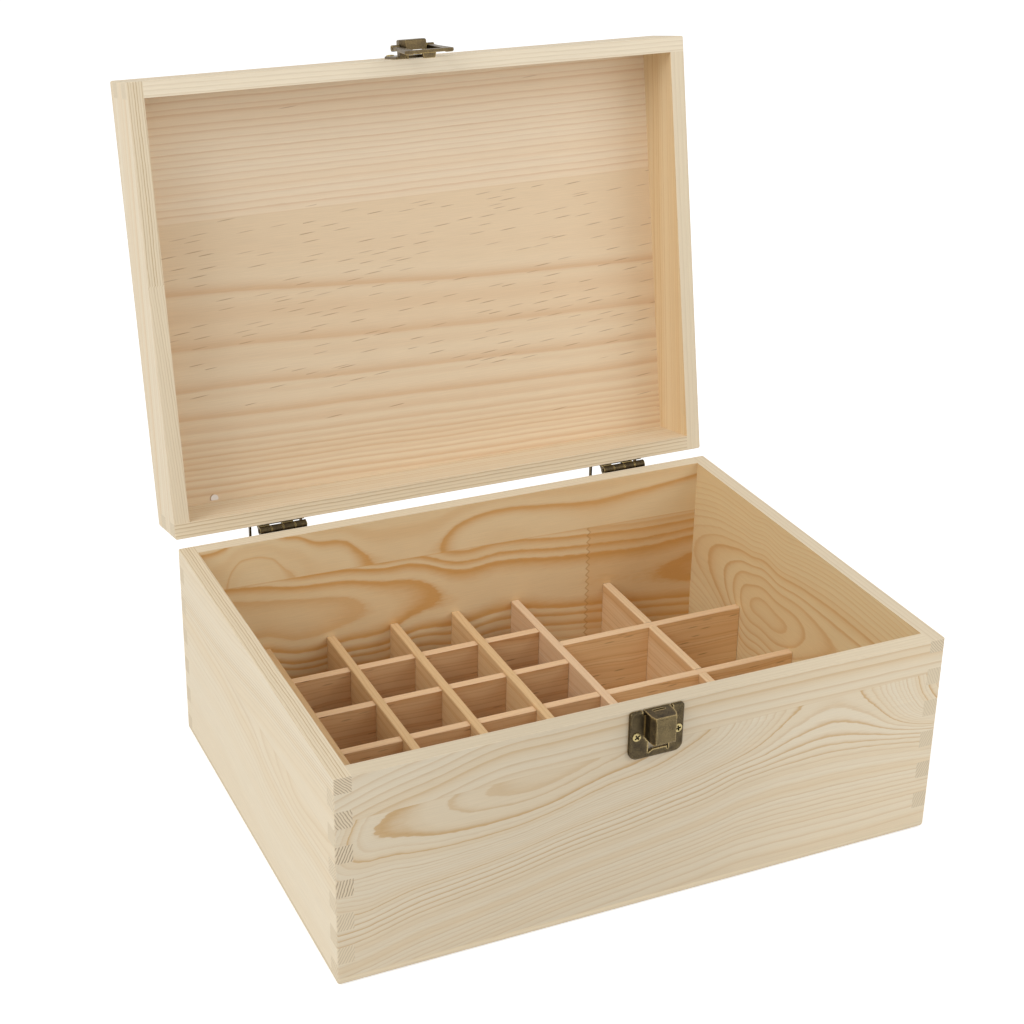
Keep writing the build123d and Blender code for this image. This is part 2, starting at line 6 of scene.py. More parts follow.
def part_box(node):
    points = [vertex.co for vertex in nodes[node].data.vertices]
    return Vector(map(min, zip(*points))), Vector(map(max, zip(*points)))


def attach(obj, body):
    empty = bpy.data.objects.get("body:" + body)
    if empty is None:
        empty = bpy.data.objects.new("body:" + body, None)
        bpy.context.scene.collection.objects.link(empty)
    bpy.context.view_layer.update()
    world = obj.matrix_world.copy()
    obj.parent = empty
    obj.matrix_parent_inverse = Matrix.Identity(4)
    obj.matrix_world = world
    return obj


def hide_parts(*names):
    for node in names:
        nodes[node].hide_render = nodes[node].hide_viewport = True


# Pine storage box for oil bottles, lid open. Metres, +X right, +Y back, +Z up.
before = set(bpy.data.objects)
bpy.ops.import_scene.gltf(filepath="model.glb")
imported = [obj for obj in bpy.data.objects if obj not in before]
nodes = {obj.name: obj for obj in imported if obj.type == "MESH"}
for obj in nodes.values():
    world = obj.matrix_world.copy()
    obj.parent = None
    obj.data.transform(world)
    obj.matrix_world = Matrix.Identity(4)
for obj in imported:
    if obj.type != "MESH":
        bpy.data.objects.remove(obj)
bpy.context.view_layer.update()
mm = 0.001


def linear(hexColour):
    # sRGB hex to the linear values that sockets take
    parts = [int(hexColour[i:i + 2], 16) / 255 for i in (1, 3, 5)]
    return [p / 12.92 if p <= 0.04045 else ((p + 0.055) / 1.055) ** 2.4 for p in parts] + [1.0]


def plug(tree, node, inputs):
    # an input takes a value, a socket, or a node's first output in use
    for key, value in inputs.items():
        if isinstance(value, bpy.types.Node):
            value = next(output for output in value.outputs if output.enabled)
        if isinstance(value, bpy.types.NodeSocket):
            tree.links.new(value, node.inputs[key])
        else:
            node.inputs[key].default_value = value


def add(tree, kind, inputs=None, **settings):
    # one node with its settings, values and links; a shader node's kind goes without its prefix
    node = tree.nodes.new(kind if "Node" in kind else "ShaderNode" + kind)
    for key, value in settings.items():
        setattr(node, key, value)
    plug(tree, node, inputs or {})
    return node


def newMaterial(name):
    material = bpy.data.materials.new(name)
    material.use_nodes = True
    tree = material.node_tree
    shader = tree.nodes["Principled BSDF"]
    return material, tree, shader


def finishWith(material, *names):
    # gives CAD nodes one material in all their slots
    for name in names:
        slots = nodes[name].data.materials
        for i in range(len(slots)):
            slots[i] = material


def drawRamp(ramp, stops, blend="LINEAR"):
    # stops are (position, grey)
    ramp.interpolation = blend
    while len(ramp.elements) < len(stops):
        ramp.elements.new(0.5)
    for element, (place, grey) in zip(ramp.elements, stops):
        element.position = place
        element.color = (grey, grey, grey, 1.0)


def drawnCurve(tree, value, points, bottom, top, straight=False):
    # a drawn curve, fitted into the curve node's unit square and back
    low, high = points[0][0], points[-1][0]
    inside = add(tree, "MapRange", {0: value, 1: low, 2: high})
    node = add(tree, "FloatCurve", {"Value": inside})
    curve = node.mapping.curves[0]
    while len(curve.points) < len(points):
        curve.points.new(0.5, 0.5)
    for point, (x, y) in zip(curve.points, points):
        point.location = ((x - low) / (high - low), (y - bottom) / (top - bottom))
        point.handle_type = "VECTOR" if straight else "AUTO"
    node.mapping.update()
    return add(tree, "MapRange", {0: node, 3: bottom, 4: top})


def seenDirectly(tree):
    # 1 for the camera's own rays and for what gloss and glass show, 0 for light on the object
    paths = add(tree, "LightPath")
    seen = add(tree, "Math", {0: paths.outputs["Is Camera Ray"], 1: paths.outputs["Is Glossy Ray"]},
               operation="MAXIMUM")
    return add(tree, "Math", {0: seen, 1: paths.outputs["Is Transmission Ray"]}, operation="MAXIMUM")


# Camera, from the photograph's box corners
cameraPlace = {
    "place": (-0.3726, -0.7511, 0.5468),
    "azimuth": 24.91,
    "elevation": 24.17,
    "roll": 0.97,
    "lens": 69.31,
    "sensor": 36,
    "shift": (0.0072, -0.0466),
    "farthest": 50,
}
azimuth, elevation, roll = (radians(cameraPlace[k]) for k in ("azimuth", "elevation", "roll"))
back = Vector((-sin(azimuth) * cos(elevation), -cos(azimuth) * cos(elevation), sin(elevation)))
right = (-back).cross(Vector((0, 0, 1))).normalized()
up = right.cross(-back)
rolledRight = cos(roll) * right + sin(roll) * up
rolledUp = -sin(roll) * right + cos(roll) * up
cameraData = bpy.data.cameras.new("camera")
cameraData.lens = cameraPlace["lens"]
cameraData.sensor_width = cameraPlace["sensor"]
cameraData.shift_x, cameraData.shift_y = cameraPlace["shift"]
cameraData.clip_end = cameraPlace["farthest"]
camera = bpy.data.objects.new("camera", cameraData)
bpy.context.collection.objects.link(camera)
turn = Matrix((rolledRight, rolledUp, back)).transposed().to_4x4()
camera.matrix_world = Matrix.Translation(cameraPlace["place"]) @ turn
bpy.context.scene.camera = camera

# Studio: a pale sweep, soft light all round, a broad lamp from the upper left, a weak one on the right
studio = {
    "floor": 6.0,
    "floorDrop": 0.0002,  # keeps the sweep clear of the box's underside
    "floorGrey": "#E6E6E6",
    "floorRoughness": 0.9,
    "floorGlow": 0.55,
    "skyLevel": 0.62,
    "keyPlace": (-2.0, -0.6, 1.8),
    "keySize": 1.6,
    "keyPower": 26.0,
    "fillPlace": (1.1, -1.0, 0.85),
    "fillSize": 1.1,
    "fillPower": 6.0,
    "lampsAim": (0, 0, 0.12),
}
bpy.context.scene.view_settings.view_transform = "Standard"
world = bpy.data.worlds.new("studio")
world.use_nodes = True
bpy.context.scene.world = world
sky = world.node_tree
sky.nodes.clear()
level = add(sky, "MapRange", {0: seenDirectly(sky), 3: studio["skyLevel"], 4: 1.0})
skyShader = add(sky, "Background", {0: (1, 1, 1, 1), 1: level})
add(sky, "OutputWorld", {0: skyShader})

floorMesh = bpy.data.meshes.new("floor")
half = studio["floor"] / 2
corners = [(-half, -half, 0), (half, -half, 0), (half, half, 0), (-half, half, 0)]
floorMesh.from_pydata(corners, [], [(0, 1, 2, 3)])
floor = bpy.data.objects.new("floor", floorMesh)
floor.location.z = -studio["floorDrop"]
bpy.context.collection.objects.link(floor)
floorPaint, tree, shader = newMaterial("matte_white_sweep")
plug(tree, shader, {
    "Base Color": linear(studio["floorGrey"]),
    "Roughness": studio["floorRoughness"],
    "Specular IOR Level": 0.0,
})
seen = seenDirectly(tree)
glow = add(tree, "Emission", {0: (1, 1, 1, 1), 1: studio["floorGlow"]})
both = add(tree, "AddShader", {0: shader, 1: glow})
pick = add(tree, "MixShader", {0: seen, 1: shader, 2: both})
plug(tree, tree.nodes["Material Output"], {"Surface": pick})
floorMesh.materials.append(floorPaint)

for name in ("key", "fill"):
    lampData = bpy.data.lights.new(name, "AREA")
    lampData.size = studio[name + "Size"]
    lampData.energy = studio[name + "Power"]
    lamp = bpy.data.objects.new(name, lampData)
    lamp.location = studio[name + "Place"]
    lamp.rotation_euler = (Vector(studio["lampsAim"]) - lamp.location).to_track_quat("-Z", "Y").to_euler()
    bpy.context.collection.objects.link(lamp)
print("stage: camera, sweep and lamps")

# Where the lid's wood was before it was swung open, in mm, so that its grain follows the boards
lidTurn = {"axis": (0, 115.5, 104.15), "degrees": 101.0}
toAxis = Matrix.Translation(Vector(lidTurn["axis"]))
lidClosed = toAxis @ Matrix.Rotation(radians(lidTurn["degrees"]), 4, "X") @ toAxis.inverted()

# Pine, planed and sanded but unfinished: pale cream early wood, tan late wood that ends in a crisp
# line each year, satin fibres along the board and grey-brown lines on the sawn ends.
pineTones = {
    "pale": "#EBDDC3",
    "late": "#C99F62",
    "warm": "#E0C08F",
    "edge": "#E8D8BB",
    "edgeLate": "#B3935F",
    "endPale": "#E2D2B5",
    "endDark": "#8E745C",
    "fleck": "#9A7048",
}
# late wood through one year, from the heart outwards: it darkens slowly and stops at once
yearProfile = [(0.0, 0.2), (0.05, 0.0), (0.45, 0.04), (0.7, 0.3), (0.9, 1.0), (0.97, 0.85), (1.0, 0.2)]
# the same for wide years, sawn nearly flat, where it spreads into a soft band
broadProfile = [(0.0, 0.4), (0.1, 0.08), (0.3, 0.1), (0.55, 0.5), (0.82, 1.0), (0.94, 0.95), (1.0, 0.4)]
# the same on a sawn end
endProfile = [(0.0, 0.2), (0.08, 0.0), (0.5, 0.1), (0.68, 0.8), (0.85, 1.0), (1.0, 0.2)]

# The grain that all boards share. A pattern is in counts per mm, along, across and in. A range has
# its sockets' numbers: 1 and 2 are where it starts and ends, and 3 and 4 what it gives there.
grain = {
    "rimFacing": 0.6,  # a surface that leans this far towards the board's width is its rim
    "waves": (0.016, 0.04, 0.04),  # about 60 mm long and 25 mm wide
    "waveNoise": {"Scale": 1.0, "Detail": 1.5, "Roughness": 0.4},
    "jitter": (0.16, 0.5, 0.5),  # about 6 mm long and 2 mm wide
    "jitterNoise": {"Scale": 1.0, "Detail": 2.0},
    "jitterReach": 0.5,  # mm, from side to side
    "noiseMiddle": (0.5, 0.5, 0.5),
    "calm": {1: 20.0, 2: 40.0},  # mm from the heart
    "yearNoise": {"Scale": 0.41, "Detail": 1.0},
    "yearDrift": 2.6,  # years
    "yearDark": {3: 0.3, 4: 0.9},
    "rimFaintest": 0.4,  # share of the rim's darkest line
    "zoneNoise": {"Scale": 0.3, "Detail": 1.0},
    "zones": {1: 0.42, 2: 0.7, 3: 0.0},
    "glueLine": {1: 0.15, 2: 0.5, 4: 0.0},  # mm from the seam
    "fibres": (0.05, 2.4, 2.4),  # about 20 mm long and 0.4 mm wide
    "fibreNoise": {"Scale": 1.0, "Detail": 3.0, "Roughness": 0.65},
    "fibreShade": {1: 0.25, 2: 0.75, 3: 0.94, 4: 1.05},
    "roughness": {3: 0.66, 4: 0.52},  # of early wood and of late wood
    "relief": 0.5,
    "bump": {"Strength": 0.25, "Distance": 0.1 * mm},
    "specular": 0.35,
}
# the lowest and highest value that each drawn curve can take
curveReach = {
    "heart": (-400.0, 400.0),
    "depth": (-100.0, 100.0),
    "offset": (-20.0, 20.0),
    "seam": (-200.0, 200.0),
    "paintedShading": (0.0, 2.0),
    "share": (0.0, 1.0),
}
# what a strip, its rim and a board have where their cut says nothing, with lengths in mm
plainStrip = {"wave": 1.6, "ring": 3.4, "warmth": 0.3, "contrast": 0.85, "broad": False}
plainRim = {"ring": 2.0, "slope": 0.0, "dark": 0.5}
plainCut = {"tones": {}, "lid": False, "seamDark": 0.1, "end": {}}
plainFlecks = {"fleckLean": -0.03, "fleckShape": (3.2, 13.0, 0), "fleckDark": 0.75}
# Resin canals: one dash at most in each cell of a leaning grid
fleckGrid = {
    "cells": (0.07, 0.3, 0.0),  # per mm: 14 mm long and 3.3 mm high
    "shear": 2.7,  # shifts each row of cells, so that the dashes don't stand in columns
    "seedStep": 0.13,
    "randomness": 0.95,
    "dash": {1: 0.6, 2: 1.2, 3: 1.0, 4: 0.0},
    "faintest": 0.3,
}
# Sawn ends: each pair is a finger and the gap above it, and has its own slant and darkness
endPairs = {
    "first": 4.0,  # mm up the board
    "height": 17.0,  # mm
    "slantReach": 2.0,
    "facing": {1: 0.45, 2: 0.9},
    "roughNoise": {"Scale": 0.3, "Detail": 2.0},
    "rough": 0.9,  # rings
}
plainEnd = {"drop": 0.0, "slants": [-0.4] * 7, "darkness": [0.25] * 7, "ring": 1.4}


def growthRings(tree, board, strip, look, edgeOn, slow):
    # Colour and late wood of one glued strip. board is the place in mm: along, across and in from
    # the face. heart is the pith's height along the board, depth its distance from the face, and
    # rings are the years' radii with how dark each one's line is.
    strip = dict(plainStrip, **strip)
    drift = add(tree, "VectorMath", {0: slow, "Scale": strip["wave"]}, operation="SCALE")
    jitter = add(tree, "VectorMath", {0: board, 1: grain["jitter"]}, operation="MULTIPLY")
    jitter = add(tree, "TexNoise", {"Vector": jitter, **grain["jitterNoise"]})
    jitter = add(tree, "VectorMath", {0: jitter.outputs["Color"], 1: grain["noiseMiddle"]},
                 operation="SUBTRACT")
    jitter = add(tree, "VectorMath", {0: jitter, "Scale": grain["jitterReach"]}, operation="SCALE")
    bent = add(tree, "VectorMath", {0: board, 1: drift})
    bent = add(tree, "VectorMath", {0: bent, 1: jitter})
    length = add(tree, "SeparateXYZ", {0: board})
    sides = add(tree, "SeparateXYZ", {0: bent})
    heart = drawnCurve(tree, length, strip["heart"], *curveReach["heart"])
    depth = drawnCurve(tree, length, strip["depth"], *curveReach["depth"])
    if "farHeart" in strip:
        # well away from the pith the years run calmer than the swirls beside it
        farHeart = drawnCurve(tree, length, strip["farHeart"], *curveReach["heart"])
        gap = add(tree, "Math", {0: sides.outputs["Y"], 1: heart}, operation="SUBTRACT")
        gap = add(tree, "Math", {0: gap}, operation="ABSOLUTE")
        calm = add(tree, "MapRange", {0: gap, **grain["calm"]}, interpolation_type="SMOOTHSTEP")
        heart = add(tree, "Mix", {0: calm, 2: heart, 3: farHeart})
    fromHeart = add(tree, "Math", {0: sides.outputs["Y"], 1: heart}, operation="SUBTRACT")
    inFromHeart = add(tree, "Math", {0: sides.outputs["Z"], 1: depth}, operation="SUBTRACT")
    radius = add(tree, "CombineXYZ", {0: fromHeart, 1: inFromHeart})
    radius = add(tree, "VectorMath", {0: radius}, operation="LENGTH")
    if "rings" in strip:
        rings = strip["rings"]
        counted = [(r, k) for k, (r, dark) in enumerate(rings)]
        years = drawnCurve(tree, radius, counted, 0.0, float(len(rings) - 1), True)
        strength = drawnCurve(tree, radius, rings, *curveReach["share"], True)
    else:
        years = add(tree, "Math", {0: radius, 1: strip["ring"]}, operation="DIVIDE")
        uneven = add(tree, "TexNoise", {"W": years, **grain["yearNoise"]}, noise_dimensions="1D")
        years = add(tree, "Math", {0: uneven, 1: grain["yearDrift"], 2: years}, operation="MULTIPLY_ADD")
        year = add(tree, "Math", {0: years}, operation="FLOOR")
        strength = add(tree, "TexWhiteNoise", {"W": year}, noise_dimensions="1D")
        strength = add(tree, "MapRange", {0: strength, **grain["yearDark"]})
    # the narrow rim shows other rings than the face: nearly straight, and close together
    rim = dict(plainRim, **strip.get("rim", {}))
    rimYears = add(tree, "Math", {0: length, 1: rim["slope"], 2: sides.outputs["Z"]},
                   operation="MULTIPLY_ADD")
    if "offset" in rim:
        offset = drawnCurve(tree, length, rim["offset"], *curveReach["offset"], True)
        rimYears = add(tree, "Math", {0: rimYears, 1: offset}, operation="ADD")
    rimYears = add(tree, "Math", {0: rimYears, 1: rim["ring"]}, operation="DIVIDE")
    rimYear = add(tree, "Math", {0: rimYears}, operation="FLOOR")
    rimStrength = add(tree, "TexWhiteNoise", {"W": rimYear}, noise_dimensions="1D")
    rimStrength = add(tree, "MapRange",
                      {0: rimStrength, 3: rim["dark"] * grain["rimFaintest"], 4: rim["dark"]})
    if "fade" in rim:
        fade = drawnCurve(tree, length, rim["fade"], *curveReach["share"], True)
        rimStrength = add(tree, "Math", {0: rimStrength, 1: fade}, operation="MULTIPLY")
    years = add(tree, "Mix", {0: edgeOn, 2: years, 3: rimYears})
    strength = add(tree, "Mix", {0: edgeOn, 2: strength, 3: rimStrength})
    phase = add(tree, "Math", {0: years}, operation="FRACT")
    line = add(tree, "ValToRGB", {0: phase})
    drawRamp(line.color_ramp, broadProfile if strip["broad"] else yearProfile)
    late = add(tree, "Math", {0: line, 1: strength}, operation="MULTIPLY")
    # some runs of years are warmer than others
    zone = add(tree, "TexNoise", {"W": years, **grain["zoneNoise"]}, noise_dimensions="1D")
    zone = add(tree, "MapRange", {0: zone, **grain["zones"], 4: strip["warmth"]})
    ground = add(tree, "Mix", {0: zone, 6: linear(look["pale"]), 7: linear(look["warm"])}, data_type="RGBA")
    ground = add(tree, "Mix", {0: edgeOn, 6: ground, 7: linear(look["edge"])}, data_type="RGBA")
    contrast = add(tree, "Mix", {0: edgeOn, 2: strip["contrast"], 3: 1.0})
    amount = add(tree, "Math", {0: late, 1: contrast}, operation="MULTIPLY", use_clamp=True)
    darkest = add(tree, "Mix", {0: edgeOn, 6: linear(look["late"]), 7: linear(look["edgeLate"])},
                  data_type="RGBA")
    colour = add(tree, "Mix", {0: amount, 6: ground, 7: darkest}, data_type="RGBA")
    return colour, late


def pineMaterial(name, cut):
    # cut says where the board lies, in mm: along and across are its axes and origin is on the
    # shown face. A board of two glued strips has a second one above its seam.
    cut = dict(plainCut, **cut)
    look = dict(pineTones, **cut["tones"])
    material, tree, shader = newMaterial(name)
    coords = add(tree, "TexCoord")
    along, across = Vector(cut["along"]), Vector(cut["across"])
    inward = along.cross(across)
    place = Matrix((along, across, inward)).to_4x4() @ Matrix.Translation(-Vector(cut["origin"]))
    alongRest, acrossRest = along, across
    if cut["lid"]:
        place = place @ lidClosed
        swungOpen = lidClosed.to_3x3().transposed()
        alongRest, acrossRest = swungOpen @ along, swungOpen @ across
    board = add(tree, "Mapping", {
        "Vector": coords.outputs["Object"],
        "Location": place.translation,
        "Rotation": place.to_euler("XYZ"),
        "Scale": (1 / mm, 1 / mm, 1 / mm),
    })
    raw = add(tree, "SeparateXYZ", {0: board})
    edgeOn = add(tree, "VectorMath", {0: coords.outputs["Normal"], 1: acrossRest}, operation="DOT_PRODUCT")
    edgeOn = add(tree, "Math", {0: edgeOn}, operation="ABSOLUTE")
    edgeOn = add(tree, "Math", {0: edgeOn, 1: grain["rimFacing"]}, operation="GREATER_THAN")
    # slow waves that bend every growth ring
    slow = add(tree, "VectorMath", {0: board, 1: grain["waves"], 2: (cut["seed"], 0, 0)},
               operation="MULTIPLY_ADD")
    slow = add(tree, "TexNoise", {"Vector": slow, **grain["waveNoise"]})
    slow = add(tree, "VectorMath", {0: slow.outputs["Color"], 1: grain["noiseMiddle"]},
               operation="SUBTRACT")
    colour, late = growthRings(tree, board, cut, look, edgeOn, slow)
    if "upper" in cut:
        upperLook = dict(look, **cut["upper"].get("tones", {}))
        upperColour, upperLate = growthRings(tree, board, cut["upper"], upperLook, edgeOn, slow)
        seam = drawnCurve(tree, raw, cut["seam"], *curveReach["seam"], True)
        above = add(tree, "Math", {0: raw.outputs["Y"], 1: seam}, operation="SUBTRACT")
        isAbove = add(tree, "Math", {0: above, 1: 0.0}, operation="GREATER_THAN")
        colour = add(tree, "Mix", {0: isAbove, 6: colour, 7: upperColour}, data_type="RGBA")
        late = add(tree, "Mix", {0: isAbove, 2: late, 3: upperLate})
        glue = add(tree, "Math", {0: above}, operation="ABSOLUTE")
        glue = add(tree, "MapRange", {0: glue, **grain["glueLine"], 3: cut["seamDark"]})
        colour = add(tree, "Mix", {0: glue, 6: colour, 7: linear(look["late"])}, data_type="RGBA")
    if "fingerJoint" in cut:
        # the lower strip is two lengths, joined end to end by small zigzag fingers
        joint = cut["fingerJoint"]
        zigzag = add(tree, "Math", {0: raw.outputs["Y"], 1: joint["deep"]}, operation="PINGPONG")
        zigzag = add(tree, "Math", {0: raw, 1: zigzag}, operation="SUBTRACT")
        zigzag = add(tree, "Math", {0: zigzag, 1: joint["x"]}, operation="SUBTRACT")
        beyond = add(tree, "Math", {0: zigzag, 1: 0.0}, operation="GREATER_THAN")
        near = add(tree, "Math", {0: zigzag}, operation="ABSOLUTE")
        near = add(tree, "MapRange", {0: near, **joint["line"]})
        below = add(tree, "Math", {0: 1.0, 1: isAbove}, operation="SUBTRACT")
        beyond = add(tree, "Math", {0: beyond, 1: below}, operation="MULTIPLY")
        beyond = add(tree, "Math", {0: beyond, 1: joint["darker"]}, operation="MULTIPLY")
        near = add(tree, "Math", {0: near, 1: below}, operation="MULTIPLY")
        for mask, tone in ((beyond, look["late"]), (near, joint["dark"])):
            colour = add(tree, "Mix", {0: mask, 6: colour, 7: linear(tone)}, data_type="RGBA")
    # satin fibres
    fibre = add(tree, "VectorMath", {0: board, 1: grain["fibres"]}, operation="MULTIPLY")
    fibre = add(tree, "TexNoise", {"Vector": fibre, **grain["fibreNoise"]})
    shade = add(tree, "MapRange", {0: fibre, **grain["fibreShade"]})
    if "paintedShading" in cut:
        # painted light and shade: the colour is scaled darker or lighter along the board, where the lamps
        # light it unevenly
        paintedShading = drawnCurve(tree, raw, cut["paintedShading"], *curveReach["paintedShading"])
        shade = add(tree, "Math", {0: shade, 1: paintedShading}, operation="MULTIPLY")
    colour = add(tree, "VectorMath", {0: colour, "Scale": shade}, operation="SCALE")
    if "flecks" in cut:
        # resin canals: dark dashes up to 10 mm long, flecks says how many at each height
        cut = dict(plainFlecks, **cut)
        cells, shear = fleckGrid["cells"], fleckGrid["shear"]
        lean = add(tree, "Math", {0: raw, 1: cut["fleckLean"], 2: raw.outputs["Y"]},
                   operation="MULTIPLY_ADD")
        shifted = add(tree, "Math", {0: lean, 1: shear, 2: raw}, operation="MULTIPLY_ADD")
        spot = add(tree, "CombineXYZ", {0: shifted, 1: lean})
        spot = add(tree, "VectorMath", {0: spot, 1: cells, 2: (fleckGrid["seedStep"] * cut["seed"], 0, 0)},
                   operation="MULTIPLY_ADD")
        cell = add(tree, "TexVoronoi",
                   {"Vector": spot, "Scale": 1.0, "Randomness": fleckGrid["randomness"]},
                   voronoi_dimensions="2D")
        away = add(tree, "VectorMath", {0: spot, 1: cell.outputs["Position"]}, operation="SUBTRACT")
        level = add(tree, "SeparateXYZ", {0: away})
        unshifted = add(tree, "Math", {0: level.outputs["Y"], 1: -shear * cells[0] / cells[1], 2: level},
                        operation="MULTIPLY_ADD")
        away = add(tree, "CombineXYZ", {0: unshifted, 1: level.outputs["Y"]})
        away = add(tree, "VectorMath", {0: away, 1: cut["fleckShape"]}, operation="MULTIPLY")
        away = add(tree, "VectorMath", {0: away}, operation="LENGTH")
        dash = add(tree, "MapRange", {0: away, **fleckGrid["dash"]})
        chance = add(tree, "SeparateColor", {0: cell.outputs["Color"]})
        where = drawnCurve(tree, raw.outputs["Y"], cut["flecks"], *curveReach["share"])
        chosen = add(tree, "Math", {0: chance, 1: where}, operation="LESS_THAN")
        dash = add(tree, "Math", {0: dash, 1: chosen}, operation="MULTIPLY")
        dark = add(tree, "MapRange",
                   {0: chance.outputs["Green"], 3: fleckGrid["faintest"], 4: cut["fleckDark"]})
        dash = add(tree, "Math", {0: dash, 1: dark}, operation="MULTIPLY")
        onFace = add(tree, "Math", {0: 1.0, 1: edgeOn}, operation="SUBTRACT")
        dash = add(tree, "Math", {0: dash, 1: onFace}, operation="MULTIPLY")
        colour = add(tree, "Mix", {0: dash, 6: colour, 7: linear(look["fleck"])}, data_type="RGBA")
    if "nick" in cut:
        # a filled nail hole beside the rim: a chalky dot, with a painted shadow as a dark edge on its left
        nick = cut["nick"]
        x, y, inside = nick["place"]
        radius, soft = nick["radius"], nick["soft"]
        spot = add(tree, "VectorMath", {0: board, 1: (x, y, inside)}, operation="DISTANCE")
        # painted shadow: a dark ring round the hole, kept to its left side, in the fleck colour
        ring = add(tree, "MapRange",
                   {0: spot, 1: radius, 2: radius + nick["ring"], 3: nick["shadowDark"], 4: 0.0})
        leftOfIt = add(tree, "MapRange", {0: raw, 1: x - soft, 2: x, 3: 1.0, 4: 0.0})
        ring = add(tree, "Math", {0: ring, 1: leftOfIt}, operation="MULTIPLY")
        filled = add(tree, "MapRange", {0: raw.outputs["Y"], 1: y - soft, 2: y - soft / 2})
        ring = add(tree, "Math", {0: ring, 1: filled}, operation="MULTIPLY")
        chalk = add(tree, "MapRange",
                    {0: spot, 1: radius - nick["ring"], 2: radius - nick["gap"], 3: 1.0, 4: 0.0})
        chalk = add(tree, "Math", {0: chalk, 1: filled}, operation="MULTIPLY")
        for mask, tone in ((ring, look["fleck"]), (chalk, nick["chalk"])):
            colour = add(tree, "Mix", {0: mask, 6: colour, 7: linear(tone)}, data_type="RGBA")
    # sawn ends: the rings cross each finger as close slanting lines
    end = dict(plainEnd, **cut["end"])
    count, reach = len(end["slants"]), endPairs["slantReach"]
    lowest = endPairs["first"] - end["drop"]
    facing = add(tree, "VectorMath", {0: coords.outputs["Normal"], 1: alongRest}, operation="DOT_PRODUCT")
    facing = add(tree, "Math", {0: facing}, operation="ABSOLUTE")
    facing = add(tree, "MapRange", {0: facing, **endPairs["facing"]})
    pair = add(tree, "MapRange", {0: raw.outputs["Y"], 1: lowest, 2: lowest + count * endPairs["height"]})
    slant = add(tree, "ValToRGB", {0: pair})
    slants = [(k / count, (v + reach) / (2 * reach)) for k, v in enumerate(end["slants"])]
    drawRamp(slant.color_ramp, slants, "CONSTANT")
    slant = add(tree, "MapRange", {0: slant, 3: -reach, 4: reach})
    darkness = add(tree, "ValToRGB", {0: pair})
    drawRamp(darkness.color_ramp, [(k / count, v) for k, v in enumerate(end["darkness"])], "CONSTANT")
    rough = add(tree, "TexNoise", {"Vector": board, **endPairs["roughNoise"]})
    leaned = add(tree, "Math", {0: raw.outputs["Y"], 1: slant, 2: raw.outputs["Z"]},
                 operation="MULTIPLY_ADD")
    endRing = add(tree, "Math", {0: leaned, 1: end["ring"]}, operation="DIVIDE")
    endRing = add(tree, "Math", {0: rough, 1: endPairs["rough"], 2: endRing}, operation="MULTIPLY_ADD")
    endRing = add(tree, "Math", {0: endRing}, operation="FRACT")
    endLine = add(tree, "ValToRGB", {0: endRing})
    drawRamp(endLine.color_ramp, endProfile)
    endLine = add(tree, "Math", {0: endLine, 1: darkness}, operation="MULTIPLY")
    endColour = add(tree, "Mix", {0: endLine, 6: linear(look["endPale"]), 7: linear(look["endDark"])},
                    data_type="RGBA")
    colour = add(tree, "Mix", {0: facing, 6: colour, 7: endColour}, data_type="RGBA")
    # late wood is a little smoother and stands proud after sanding
    roughness = add(tree, "MapRange", {0: late, **grain["roughness"]})
    relief = add(tree, "Math", {0: late, 1: grain["relief"], 2: fibre}, operation="MULTIPLY_ADD")
    bump = add(tree, "Bump", {"Height": relief, **grain["bump"]})
    plug(tree, shader, {
        "Base Color": colour,
        "Roughness": roughness,
        "Normal": bump,
        "Specular IOR Level": grain["specular"],
    })
    return material
